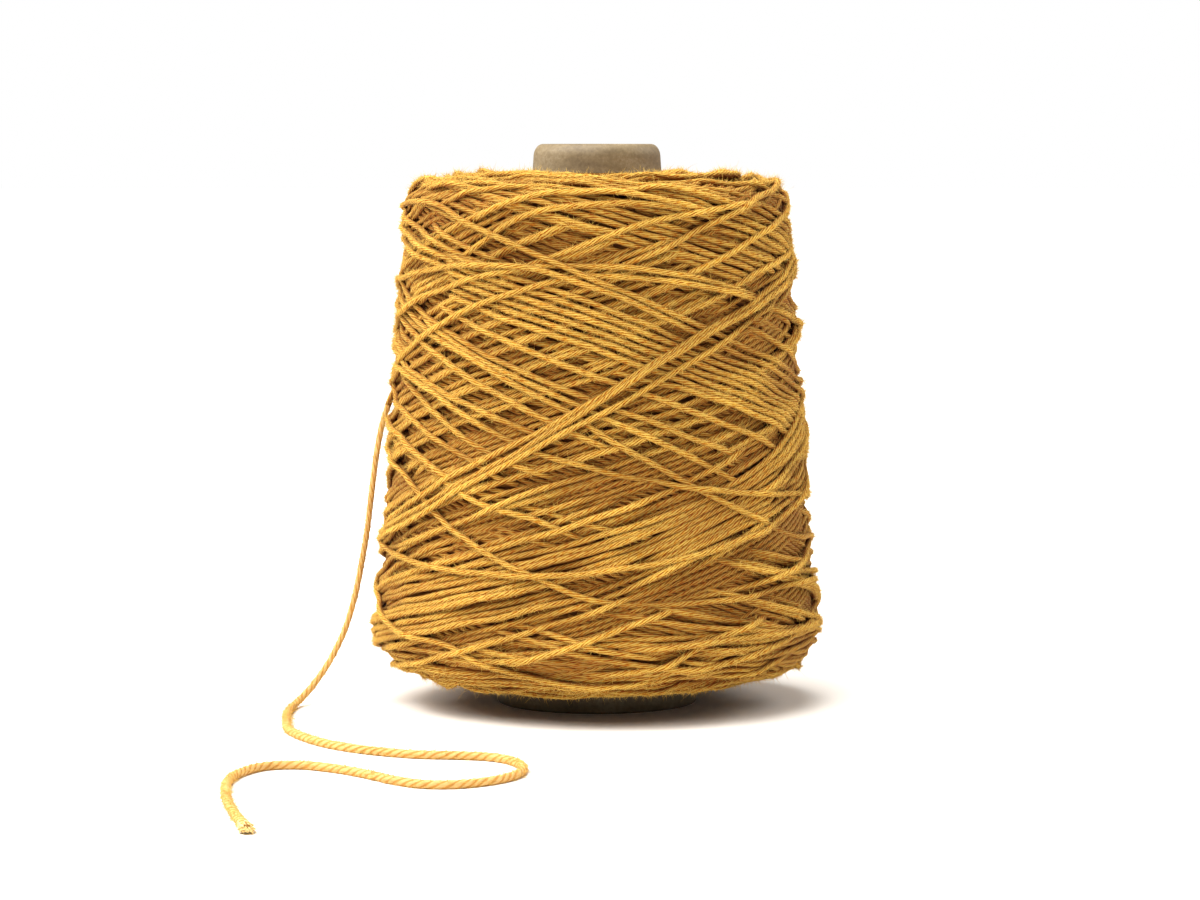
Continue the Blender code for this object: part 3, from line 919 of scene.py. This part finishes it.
def fibre_roots(tubes, count, leans, random):
    """Places low in the skin of the strands that lie on top, and directions outwards."""
    lightness = np.concatenate([np.broadcast_to(shade, len(rings)) for rings, _, shade in tubes])
    centres = np.concatenate([rings.mean(axis=1) for rings, _, _ in tubes])
    along = np.concatenate([np.gradient(rings.mean(axis=1), axis=0) for rings, _, _ in tubes])
    crown = np.concatenate([rings[:, rings.shape[1] // 2] for rings, _, _ in tubes])
    chosen = random.choice(np.flatnonzero(lightness > HAIRY_SHADE), count)
    centre, along, up = centres[chosen], unit(along[chosen]), crown[chosen] - centres[chosen]
    size = np.linalg.norm(up, axis=1, keepdims=True)
    up = up / size
    side = np.cross(along, up)
    round_strand = random.normal(0, FIBRE_SPREAD, (count, 1))
    outward = up * np.cos(round_strand) + side * np.sin(round_strand)
    run_along = along * random.uniform(-1, 1, (count, 1)) * SEGMENT / 2
    roots = centre + run_along + outward * size * ROOT_DEPTH
    lean = along * random.choice([-1, 1], (count, 1)) * random.uniform(*leans, (count, 1))
    return roots, unit(outward + lean + FIBRE_STRAY * random.normal(size=(count, 3)))


def make_package_fibres(tubes, random, material):
    """The fibres that stand off the wound yarn: a few long ones, a dense nap and a fine halo."""
    for name, (count, lengths, leans, thick, rings) in PACKAGE_FIBRES.items():
        roots, directions = fibre_roots(tubes, count, leans, random)
        lengths = fibre_lengths(random, count, *lengths)
        piece = make_fibres(name, roots, directions, lengths, thick, rings, random, material)
        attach(piece, "root")


# ---------------------------------------------------------------- materials

# Wool: the index of its fibres, and the little gloss that its dry, fuzzy surface leaves them.
WOOL_IOR = 1.54
WOOL_GLOSS = 0.1
STRAND_GLOSS = 0.12
SHEEN_COLOUR = "#F5CF84"


def colour(code):
    """A linear colour from an sRGB hex value."""
    parts = [int(code[i : i + 2], 16) / 255 for i in (1, 3, 5)]
    linear = [p / 12.92 if p <= 0.04045 else ((p + 0.055) / 1.055) ** 2.4 for p in parts]
    return (*linear, 1.0)


def new_material(name):
    material = bpy.data.materials.new(name)
    material.use_nodes = True
    return material


def link(owner, node, links):
    """Links inputs, by name or number, to outputs. A node stands for its first output."""
    for name, source in links.items():
        output = source.outputs[0] if isinstance(source, bpy.types.Node) else source
        owner.node_tree.links.new(output, node.inputs[name])


def add(owner, kind, settings=None, links=None):
    """Adds a node to a material or to the world.

    A setting is one of the node's properties, or an input by name or number.
    """
    node = owner.node_tree.nodes.new("ShaderNode" + kind)
    for name, value in (settings or {}).items():
        if isinstance(name, str) and hasattr(node, name):
            setattr(node, name, value)
        else:
            node.inputs[name].default_value = value
    link(owner, node, links or {})
    return node


def finish(material, settings, links):
    """Sets and links the material's own shader."""
    shader = material.node_tree.nodes["Principled BSDF"]
    for name, value in settings.items():
        shader.inputs[name].default_value = value
    link(material, shader, links)


def ramp(material, factor, stops):
    """A colour ramp through stops of (position, hex colour)."""
    node = add(material, "ValToRGB", links={"Fac": factor})
    elements = node.color_ramp.elements
    while len(elements) < len(stops):
        elements.new(0.5)
    for element, (position, code) in zip(elements, stops):
        element.position = position
        element.color = colour(code)
    return node


def twisted_wool(name, plies, ply_turn, ply_share, groove, middle, ridge, deep, painted_flank_shade=1.0):
    """Woollen-spun, plied and dyed wool: matt and soft, its plies showing as slanting ridges.

    The ramp runs from a groove to a ridge colour over fine fibre streaks, the wool's own uneven
    tone, and over the ply wave, whose darker grooves between the plies are painted shade. Bundles
    of loose fibres blur the plies' edges, drawn about 0.8 mm wide so that they show. Deep is the
    colour of the painted shade: the dye is mixed towards it where the shade attribute, which holds
    a painted depth shade, is low, and down each strand's sides, where painted_flank_shade is the
    share of the dye's colour left on the sides and underside below the crown.
    """
    wool = new_material(name)
    uv = add(wool, "TexCoord").outputs["UV"]
    parts = add(wool, "SeparateXYZ", links={0: uv})
    round_it, along_it = parts.outputs["X"], parts.outputs["Y"]
    place = add(wool, "TexCoord").outputs["Object"]
    uneven = add(wool, "TexNoise", {"Scale": 1 / (7 * MM), "Detail": 2.0}, {"Vector": place})
    turns = add(wool, "Math", {"operation": "DIVIDE", 1: ply_turn}, {0: along_it})
    slant = add(wool, "Math", {"operation": "SUBTRACT"}, {0: round_it, 1: turns})
    slack = add(wool, "Math", {"operation": "MULTIPLY_ADD", 1: 0.3}, {0: uneven, 2: slant})
    phase = add(wool, "Math", {"operation": "MULTIPLY", 1: plies * math.pi}, {0: slack})
    wave = add(wool, "Math", {"operation": "SINE"}, {0: phase})
    ply = add(wool, "Math", {"operation": "ABSOLUTE"}, {0: wave})

    across = add(wool, "Math", {"operation": "MULTIPLY", 1: 4.4}, {0: slant})
    along = add(wool, "Math", {"operation": "DIVIDE", 1: 4.5 * MM}, {0: along_it})
    bundle = add(wool, "CombineXYZ", links={0: across, 1: along})
    grain = {"Scale": 1.9, "Detail": 3.0, "Roughness": 0.62}
    fibre = add(wool, "TexNoise", grain, {"Vector": bundle})

    # Painted shade: the ply wave darkens the grooves between the plies, over fibre streaks that
    # are the wool's own uneven tone.
    tone = add(wool, "Mix", {0: ply_share}, {2: fibre, 3: ply})
    base = ramp(wool, tone, ((0.4, groove), (0.5, middle), (0.6, ridge)))

    # Painted shade: each strand is drawn lighter on its crown and darker down its sides and
    # underside, and darker still where its shade attribute, a random tone times a painted depth
    # shade, is low; there the dye is mixed towards the deep colour.
    angle = add(wool, "Math", {"operation": "MULTIPLY", 1: math.tau}, {0: round_it})
    upwards = add(wool, "Math", {"operation": "COSINE"}, {0: angle})
    rounding = {"From Min": 0.35, "From Max": -1.0, "To Min": painted_flank_shade}
    crown = add(wool, "MapRange", rounding, {"Value": upwards})
    strand = add(wool, "Attribute", {"attribute_name": "shade"})
    value = add(wool, "Math", {"operation": "MULTIPLY"}, {0: crown, 1: strand.outputs["Fac"]})
    lot = add(wool, "TexNoise", {"Scale": 1 / (30 * MM), "Detail": 1.0}, {"Vector": place})
    spread = {"From Min": 0.3, "From Max": 0.7, "To Min": 0.92, "To Max": 1.08}
    vary = add(wool, "MapRange", spread, {"Value": lot})
    lively = add(wool, "HueSaturation", links={"Color": base, "Value": vary})
    shading = {"data_type": "RGBA", 6: colour(deep)}
    coloured = add(wool, "Mix", shading, {0: value, 7: lively})

    rise = add(wool, "Math", {"operation": "MULTIPLY", 1: 1.2}, {0: fibre})
    height = add(wool, "Math", {"operation": "MULTIPLY_ADD", 1: 0.6}, {0: ply, 2: rise})
    bump = add(wool, "Bump", {"Strength": 1.0, "Distance": 0.28 * MM}, {"Height": height})
    rough = add(wool, "MapRange", {"To Min": 0.85, "To Max": 1.0}, {"Value": fibre})
    sheen = {"Sheen Weight": 0.08, "Sheen Roughness": 0.5, "Sheen Tint": colour(SHEEN_COLOUR)}
    finish(
        wool,
        {"IOR": WOOL_IOR, "Specular IOR Level": STRAND_GLOSS, **sheen},
        {"Base Color": coloured.outputs[2], "Roughness": rough, "Normal": bump},
    )
    return wool


def buried_turns(name, gap, crown):
    """The same wool deep between the turns that show, drawn as rows of strands in painted shade,
    darker than the wool's own colour and darkest in the gaps between the rows.
    """
    wool = new_material(name)
    place = add(wool, "TexCoord").outputs["Object"]
    tilted = add(wool, "Mapping", {"Rotation": (0.12, 0.1, 0.0)}, {"Vector": place})
    # At this scale the wave repeats every 2.4 mm, the spacing of the strands.
    strands = {"bands_direction": "Z", "Scale": math.tau / 20 / (2.4 * MM)}
    unevenness = {"Distortion": 5.0, "Detail": 2.0, "Detail Scale": 0.6}
    rows = add(wool, "TexWave", {**strands, **unevenness}, {"Vector": tilted}).outputs["Fac"]
    fibre = add(wool, "TexNoise", {"Scale": 1 / (0.5 * MM), "Detail": 3.0}, {"Vector": place})
    tone = add(wool, "Math", {"operation": "MULTIPLY_ADD", 1: 0.3}, {0: fibre, 2: rows})
    # Painted shade: the gap and the crown colours are both far darker than the wool's own colour.
    base = ramp(wool, tone, ((0.25, gap), (1.0, crown)))
    bump = add(wool, "Bump", {"Strength": 1.0, "Distance": 0.8 * MM}, {"Height": rows})
    finish(
        wool,
        {"IOR": WOOL_IOR, "Roughness": 0.95, "Specular IOR Level": WOOL_GLOSS},
        {"Base Color": base, "Normal": bump},
    )
    return wool


def wool_fibre(name, code):
    """Single loose fibres of the same wool, drawn lighter than the yarn: painted light, for the
    light that thin fibres let through.
    """
    wool = new_material(name)
    place = add(wool, "TexCoord").outputs["Object"]
    patch = add(wool, "TexNoise", {"Scale": 1 / (8 * MM), "Detail": 2.0}, {"Vector": place})
    value = add(wool, "MapRange", {"To Min": 0.85, "To Max": 1.15}, {"Value": patch})
    coloured = add(wool, "HueSaturation", {"Color": colour(code)}, {"Value": value})
    finish(
        wool,
        {"IOR": WOOL_IOR, "Roughness": 0.9, "Specular IOR Level": WOOL_GLOSS},
        {"Base Color": coloured},
    )
    return wool


def cone_board(name):
    """Grey-brown board of recycled fibre, rolled into a cone and lightly waxed by handling.

    It is mottled, has fine specks and faint bands round it, and is drawn darker at its foot:
    painted shade, where the package's overhang shades it.
    """
    board = new_material(name)
    place = add(board, "TexCoord").outputs["Object"]
    speckle = {"Scale": 1 / (1.1 * MM), "Detail": 4.0, "Roughness": 0.7}
    specks = add(board, "TexNoise", speckle, {"Vector": place})
    mottle = {"Scale": 1 / (14 * MM), "Detail": 3.0}
    patches = add(board, "TexNoise", mottle, {"Vector": place})
    flat = add(board, "Mapping", {"Scale": (1, 1, 6)}, {"Vector": place})
    bands = add(board, "TexNoise", {"Scale": 1 / (18 * MM), "Detail": 2.0}, {"Vector": flat})
    tone = add(board, "Math", {"operation": "MULTIPLY", 1: 0.45}, {0: specks})
    for share, pattern in ((0.3, patches), (0.25, bands)):
        mixed = {"operation": "MULTIPLY_ADD", 1: share}
        tone = add(board, "Math", mixed, {0: pattern, 2: tone})
    unshaded = ramp(board, tone, ((0.3, "#615138"), (0.5, "#816F50"), (0.68, "#9C8D70")))
    # Painted shade: the board's value falls towards its foot, under the package.
    parts = add(board, "SeparateXYZ", links={0: place})
    darker = {"From Min": 4 * MM, "From Max": 14 * MM, "To Min": 0.5}
    foot = add(board, "MapRange", darker, {"Value": parts.outputs["Z"]})
    base = add(board, "HueSaturation", links={"Color": unshaded, "Value": foot})
    bump = add(board, "Bump", {"Strength": 0.5, "Distance": 0.08 * MM}, {"Height": specks})
    rough = add(board, "MapRange", {"To Min": 0.45, "To Max": 0.65}, {"Value": patches})
    finish(
        board,
        {"IOR": 1.47, "Specular IOR Level": 0.4},
        {"Base Color": base, "Roughness": rough, "Normal": bump},
    )
    return board


def painted_floor(name):
    """Warm white emulsion paint, rolled on smooth: matt, so that only soft shadows show on it."""
    paint = new_material(name)
    settings = {"Base Color": colour("#F2EDE5"), "Roughness": 0.75, "Specular IOR Level": 0.2}
    finish(paint, settings, {})
    return paint


# ---------------------------------------------------------------- camera, light and floor

ROOM_LIGHT = 0.3
ROOM_SEEN = 1.0
FLOOR_REACH = 12.0
SOFT_LIGHT_AIM = (0.0, 0.0, 0.08)
SOFT_LIGHT_SIZE = 0.8
# The soft lights' places and powers.
SOFT_LIGHTS = {
    "left light": ((-1.15, 0.0, 1.0), 17.0),
    "front light": ((-0.4, -1.35, 1.35), 14.0),
    "right light": ((1.1, 0.4, 0.9), 8.0),
}
WINDOW_TOWARDS = (-0.25, -0.1, 1.0)
WINDOW_SPREAD = math.radians(60)
WINDOW_STRENGTH = 4.8


def add_camera():
    data = bpy.data.cameras.new("camera")
    data.lens = CAMERA_LENS
    data.sensor_width = CAMERA_SENSOR
    data.clip_end = CAMERA_REACH
    camera = bpy.data.objects.new("camera", data)
    camera.location = CAMERA_PLACE
    camera.rotation_euler = (math.pi / 2 - CAMERA_TILT, 0.0, 0.0)
    bpy.context.scene.collection.objects.link(camera)
    bpy.context.scene.camera = camera


def add_light(name, kind, direction, power):
    """A light that shines along a direction."""
    data = bpy.data.lights.new(name, kind)
    data.energy = power
    light = bpy.data.objects.new(name, data)
    light.rotation_euler = Vector(direction).to_track_quat("-Z", "Y").to_euler()
    bpy.context.scene.collection.objects.link(light)
    return light


def add_window_light():
    """A light so large and far away that it is as strong everywhere."""
    light = add_light("window light", "SUN", -Vector(WINDOW_TOWARDS), WINDOW_STRENGTH)
    light.data.angle = WINDOW_SPREAD


def add_soft_light(name, place, power):
    """A square light that faces the middle of the yarn."""
    light = add_light(name, "AREA", Vector(SOFT_LIGHT_AIM) - Vector(place), power)
    light.data.shape = "RECTANGLE"
    light.data.size = light.data.size_y = SOFT_LIGHT_SIZE
    light.location = place


def add_world():
    """A white room, whose walls light the object less than they show."""
    world = bpy.data.worlds.new("white room")
    world.use_nodes = True
    background = world.node_tree.nodes["Background"]
    background.inputs["Color"].default_value = colour("#FFFFFF")
    seen = add(world, "LightPath").outputs["Is Camera Ray"]
    strength = add(world, "MapRange", {"To Min": ROOM_LIGHT, "To Max": ROOM_SEEN}, {"Value": seen})
    link(world, background, {"Strength": strength})
    bpy.context.scene.world = world


def add_studio():
    bpy.context.scene.view_settings.view_transform = "Standard"
    add_world()
    form = bmesh.new()
    bmesh.ops.create_grid(form, x_segments=1, y_segments=1, size=FLOOR_REACH)
    mesh = bpy.data.meshes.new("floor")
    form.to_mesh(mesh)
    form.free()
    new_object("floor", mesh, painted_floor("matt white painted floor"))
    add_window_light()
    for name, (place, power) in SOFT_LIGHTS.items():
        add_soft_light(name, place, power)


# ---------------------------------------------------------------- the loose end

# (x, y, height) of its middle in mm, from the wound yarn to the cut end, as in the CAD model.
LOOSE_END_ROUTE = (
    (-64.1, 7.0, 90.0), (-65.8, 6.0, 84.5), (-67.6, 4.6, 75.0), (-69.2, 2.8, 62.0),
    (-70.4, 1.9, 52.0), (-71.9, 0.7, 43.0), (-74.2, -1.1, 31.5), (-77.4, -2.8, 21.2),
    (-82.0, -4.6, 12.0), (-87.0, -8.5, 5.0), (-90.6, -17.0, 1.8), (-92.1, -32.0, 1.15),
    (-91.3, -50.0, 1.15), (-88.8, -70.0, 1.15), (-83.2, -84.5, 1.15), (-74.8, -98.0, 1.15),
    (-63.6, -108.5, 1.15), (-51.0, -115.5, 1.15), (-39.0, -117.6, 1.15), (-30.5, -119.8, 1.15),
    (-24.6, -125.0, 1.15), (-21.0, -133.0, 1.15), (-19.9, -143.0, 1.15), (-22.6, -153.5, 1.15),
    (-29.0, -162.0, 1.15), (-38.0, -167.3, 1.15), (-46.5, -166.6, 1.15), (-54.0, -160.2, 1.15),
    (-62.0, -149.8, 1.15), (-71.0, -140.6, 1.15), (-81.0, -134.6, 1.15), (-89.8, -136.2, 1.15),
    (-95.4, -145.5, 1.15), (-98.0, -159.0, 1.15), (-97.0, -180.0, 1.15), (-93.2, -205.0, 1.15),
    (-86.9, -233.5, 1.15),
)
# How thick it is, of the yarn's radius, by length: pulled thin where it hangs, slack on the floor.
LOOSE_SIZES = (
    (0.0, 80.0 * MM, 125.0 * MM, 446.0 * MM, 459.4 * MM, 461.4 * MM),
    (0.84, 0.86, 1.16, 1.2, 1.35, 1.3),
)
# Painted shade by length: it hangs in less light than it lies in, so its hanging stretch is
# drawn darker.
LOOSE_SHADES = ((0.0, 85.0 * MM, 120.0 * MM), (0.9, 0.93, 1.0))
LOOSE_RING_STEP = 0.75 * MM
LOOSE_SIDES = 32
FLOOR_GAP = 0.01 * MM
PLY_DEPTH = 0.16  # of the radius, how deep the grooves between the plies are
LOOSE_END_FIBRES = 5000
LOOSE_FIBRE_LENGTHS = (0.7 * MM, 1.0 * MM, 5.0 * MM)
LOOSE_FIBRE_SHARE = 0.75  # of those lengths
LOOSE_FIBRE_LEANS = (0.2, 1.4)
LOOSE_FIBRE_RADIUS = 0.075 * MM
ROUTE_POINTS = 400

FRAYED_PLIES = 170
FRAYED_LENGTHS = (6.0 * MM, 9.0 * MM)
FRAYED_SPREAD = 0.16  # how far the cut plies part, for a length of one
FRAYED_FLATNESS = 0.35  # of that, how far they part upwards
FRAYED_RADIUS = 0.2 * MM
FRAYED_TAPER = 0.45
FRAYED_WIDTH = 1.6 * MM  # how far from the yarn's middle the outermost cut plies start
FRAYED_ROOT = 0.8  # how much of a cut ply lies along the yarn
FRAYED_LEAD = 0.2  # how much further the middle ones reach, so that the end is rounded
FRAYED_CLEAR = 1.02  # of its radius, how high a cut ply's middle lies at least
FRAYED_RINGS = 7
FRAYED_SIDES = 6
FRAYED_SHADES = (0.85, 1.05)


def travelling_sides(points, first):
    """A direction across the path at each point, carried along it without turning about it."""
    along = unit(np.gradient(points, axis=0))
    side = np.array(first, float)
    sides = []
    for direction in along:
        side = side - direction * side.dot(direction)
        side /= np.linalg.norm(side)
        sides.append(side)
    return along, np.array(sides)


def make_frayed_end(end, along, random, material):
    """The cut plies, parted a little, each a short curved tube that thins out."""
    tubes = []
    share = np.linspace(0, 1, FRAYED_RINGS)[:, None]
    normals = np.tile((0.0, 0.0, 1.0), (FRAYED_RINGS, 1))
    radius = FRAYED_RADIUS * (1 - FRAYED_TAPER * share[:, 0] ** 2)
    for ply in range(FRAYED_PLIES):
        length = random.uniform(*FRAYED_LENGTHS)
        aside = unit(random.normal(size=3) * (1, 1, FRAYED_FLATNESS))
        from_middle = random.uniform(0.0, 1.0)
        start = end + aside * FRAYED_WIDTH * math.sqrt(from_middle)
        lead = FRAYED_LEAD * (1 - from_middle) - FRAYED_ROOT
        bow = aside * FRAYED_SPREAD * random.uniform(0.0, 1.0)
        centres = start + length * (along * (share + lead) + bow * share**1.5)
        centres[:, 2] = np.maximum(centres[:, 2], radius * FRAYED_CLEAR)
        rings = tube_rings(centres, normals, radius, radius, FRAYED_SIDES)
        tubes.append((rings, share[:, 0] * length, random.uniform(*FRAYED_SHADES)))
    return joined_tubes("frayed_end", tubes, material)


def make_loose_end_fibres(route, along, side, other, slack, random, material):
    """Fibres that stand off the loose end all round, and lie over the floor where they meet it."""
    chosen = random.integers(1, len(route) - 1, LOOSE_END_FIBRES)
    round_yarn = random.uniform(0, math.tau, (LOOSE_END_FIBRES, 1))
    outward = np.cos(round_yarn) * other[chosen] + np.sin(round_yarn) * side[chosen]
    lean = along[chosen] * random.choice([-1, 1], (LOOSE_END_FIBRES, 1))
    directions = unit(outward + lean * random.uniform(*LOOSE_FIBRE_LEANS, (LOOSE_END_FIBRES, 1)))
    roots = route[chosen] + outward * (YARN_RADIUS * ROOT_DEPTH * slack[chosen])[:, None]
    lengths = LOOSE_FIBRE_SHARE * fibre_lengths(random, LOOSE_END_FIBRES, *LOOSE_FIBRE_LENGTHS)
    return make_fibres(
        "loose_end_fibres",
        roots,
        directions,
        lengths,
        LOOSE_FIBRE_RADIUS,
        (0.0,),
        random,
        material,
        lowest=LOOSE_FIBRE_RADIUS,
    )


def make_loose_end(material, fibre, cut_fibre):
    """The loose end as a tube with its plies twisted round each other, its fibres and its end."""
    corners = np.array(LOOSE_END_ROUTE) * MM
    length = travelled(smooth_curve(corners, ROUTE_POINTS))[-1]
    route = smooth_curve(corners, int(length / LOOSE_RING_STEP))
    travel = travelled(route)
    along, side = travelling_sides(route, (0, 0, 1))
    other = np.cross(along, side)
    turn = np.arange(LOOSE_SIDES) / LOOSE_SIDES * math.tau
    ply = np.abs(np.sin(PLIES / 2 * (turn - math.tau * travel[:, None] / LOOSE_TURN)))
    slack = np.interp(travel, *LOOSE_SIZES)
    radius = YARN_RADIUS * slack[:, None] * (1 - PLY_DEPTH + PLY_DEPTH * ply)
    turn = turn[None, :, None]
    outward = np.cos(turn) * other[:, None] + np.sin(turn) * side[:, None]
    rings = route[:, None] + radius[..., None] * outward
    rings[..., 2] = np.maximum(rings[..., 2], FLOOR_GAP)
    shade = np.interp(travel, *LOOSE_SHADES)
    thing = joined_tubes("loose_end_yarn", [(rings, travel, shade)], material)
    random = np.random.default_rng(RANDOM_SEED)
    fuzz = make_loose_end_fibres(route, along, side, other, slack, random, fibre)
    frayed = make_frayed_end(route[-1], along[-1], random, cut_fibre)
    for piece in (fuzz, frayed):
        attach(piece, "root")
    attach(thing, "root")
    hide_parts("loose_end")


# ---------------------------------------------------------------- the paper cone and the core

CONE_STEPS = 128
CONE_ROWS = 24
NOSE_ROWS = 12
CORE_STEPS = 120
CORE_ROWS = 90
CORE_MARGIN = 0.3 * MM  # how far it stays below the filled gaps
CORE_BORE = 1.0 * MM  # how far its bore starts inside the two end faces


def spun(name, profile, steps, material):
    """A closed (radius, height) profile spun round Z."""
    form = bmesh.new()
    points = [form.verts.new((radius, 0.0, height)) for radius, height in profile]
    edges = [form.edges.new((a, b)) for a, b in zip(points, points[1:] + points[:1])]
    bmesh.ops.spin(
        form,
        geom=points + edges,
        cent=(0, 0, 0),
        axis=(0, 0, 1),
        angle=math.tau,
        steps=steps,
        use_merge=True,
    )
    bmesh.ops.recalc_face_normals(form, faces=form.faces)
    for face in form.faces:
        face.smooth = True
    mesh = bpy.data.meshes.new(name)
    form.to_mesh(mesh)
    form.free()
    return new_object(name, mesh, material)


def make_paper_cone(material):
    """The cone's tube with its rounded nose."""
    shoulder = CONE_HEIGHT - NOSE_DEPTH
    inner_top = cone_radius(CONE_HEIGHT) - CONE_WALL
    lip = inner_top + NOSE_LIP
    profile = [(inner_top, CONE_HEIGHT - EDGE_BREAK), (lip, CONE_HEIGHT)]
    for turn in np.linspace(math.pi / 2, 0.0, NOSE_ROWS)[1:]:
        radius = lip + (cone_radius(shoulder) - lip) * math.cos(turn)
        profile.append((radius, shoulder + NOSE_DEPTH * math.sin(turn)))
    heights = np.linspace(shoulder, 0.0, CONE_ROWS)
    profile += [(cone_radius(height), height) for height in heights[1:-1]]
    outer, inner = CONE_BASE_RADIUS, CONE_BASE_RADIUS - CONE_WALL
    profile += [(outer, EDGE_HEIGHT), (outer - EDGE_BREAK, 0.0)]
    profile += [(inner + EDGE_BREAK, 0.0), (inner, EDGE_HEIGHT)]
    heights = np.linspace(0.0, shoulder, CONE_ROWS)
    profile += [(cone_radius(height) - CONE_WALL, height) for height in heights[1:]]
    cone = spun("cone_tube", profile, CONE_STEPS, material)
    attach(cone, "root")
    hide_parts("paper_cone")


def make_core(winding, level, material):
    """The yarn below the turns that show, as one closed form about the cone."""
    ways = np.linspace(0, Outline.length, CORE_ROWS)
    top, bottom = Outline.points[0][1], Outline.points[-1][1]
    profile = [
        (cone_radius(top) + BORE_GAP, top - CORE_BORE),
        *zip(radius_at(ways), height_at(ways)),
        (cone_radius(bottom) + BORE_GAP, bottom + CORE_BORE),
    ]
    core = spun("yarn_core", profile, CORE_STEPS, material)
    depth = level - winding.ground
    for vertex in core.data.vertices:
        x, y, z = vertex.co
        radius = math.hypot(x, y)
        if radius < cone_radius(z) + 2 * BORE_GAP:
            continue
        away = np.hypot(Outline.radius - radius, Outline.height - z)
        angle, way = np.array(math.atan2(x, -y)), np.array(Outline.way[int(np.argmin(away))])
        sunk = pressed(-winding.sample(depth, angle, way), way) - CORE_MARGIN
        vertex.co += Vector(outwards(angle, way) * sunk)
    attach(core, "root")
    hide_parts("yarn_package")


def wind_package(winding, random):
    """Lays the whole package from the inside out, and returns the paths of each of its parts."""
    bottom = wind_face(winding, random, BOTTOM_FACE_RADII, top=False)
    top = wind_face(winding, random, TOP_FACE_RADII, top=True)
    strokes = wind_strokes(winding, random)
    top += wind_face(winding, random, TOP_FACE_RADII, top=True)
    bottom += wind_face(winding, random, BOTTOM_FACE_RADII, top=False)
    rim = wind_rim(winding, random)
    groups = wind_hand_laid(winding, random)
    last_turn = winding.lay(*side_curve(LAST_TURN), sink=(True, False))
    winding.fill_up()
    return bottom, top, strokes, rim, groups, last_turn


def make_yarn(wool, buried, fibre):
    """The wound yarn: every strand that shows, the fibres on it and the core below it."""
    random = np.random.default_rng(RANDOM_SEED)
    winding = Winding()
    bottom, top, strokes, rim, groups, last_turn = wind_package(winding, random)
    level = winding.level()
    floor = winding.near(np.minimum, GAP_REACH)

    def seen(paths):
        return [part for path in paths for part in winding.seen_parts(floor, path)]

    turns = seen(strokes)
    under, over = len(turns) // 2, len(turns) * 3 // 4
    # The paths in each piece, and how many sides its strands have.
    pieces = {
        "deep_turns": (deep_turns(winding, random), 5),
        "under_turns": (turns[:under], 6),
        "middle_turns": (turns[under:over], 6),
        "outer_turns": (turns[over:], 8),
        "bottom_face_turns": (seen(bottom), 6),
        "top_face_turns": (seen(top), 8),
        "rim_turns": (seen(rim), 6),
        "lattice_strands": (seen(groups[0]), 6),
        "first_strands": (seen(groups[1] + groups[2]), 8),
        "middle_strands": (seen(groups[3] + groups[4]), 8),
        "last_strands": (seen(groups[5] + groups[6]), 8),
    }
    tubes_by_name = {
        name: [strand_tube(winding, level, path, sides, random) for path in paths]
        for name, (paths, sides) in pieces.items()
    }
    tubes_by_name["last_turn"] = [strand_tube(winding, level, last_turn, 10, random, leaving=True)]
    for name, tubes in tubes_by_name.items():
        thing = joined_tubes(name, tubes, wool)
        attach(thing, "root")
    every_tube = [tube for tubes in tubes_by_name.values() for tube in tubes]
    make_package_fibres(every_tube, random, fibre)
    make_core(winding, level, buried)


# ---------------------------------------------------------------- the cone of yarn

add_camera()
wound_wool = twisted_wool(
    "plied mustard wool, wound",
    plies=WOUND_STREAKS,
    ply_turn=WOUND_TURN,
    ply_share=0.25,
    groove="#90460C",
    middle="#CC9028",
    ridge="#DAB858",
    deep="#682606",
    painted_flank_shade=0.22,
)
slack_wool = twisted_wool(
    "plied mustard wool, slack",
    plies=PLIES,
    ply_turn=LOOSE_TURN,
    ply_share=0.5,
    groove="#BC8440",
    middle="#CA964A",
    ridge="#D8B070",
    deep="#5E300C",
)
# Painted light: the fibres are paler than the yarn, and the cut plies paler still, for the
# brightly lit cut end.
fibre = wool_fibre("loose fibres of mustard wool", "#DEB45A")
make_loose_end(slack_wool, fibre, wool_fibre("cut plies of mustard wool", "#EED090"))
add_studio()
make_paper_cone(cone_board("rolled grey-brown cone board"))
# The core below the turns that show is drawn in painted shade.
buried = buried_turns("buried mustard wool in painted shade", gap="#4A2810", crown="#7C4C1C")
make_yarn(wound_wool, buried, fibre)
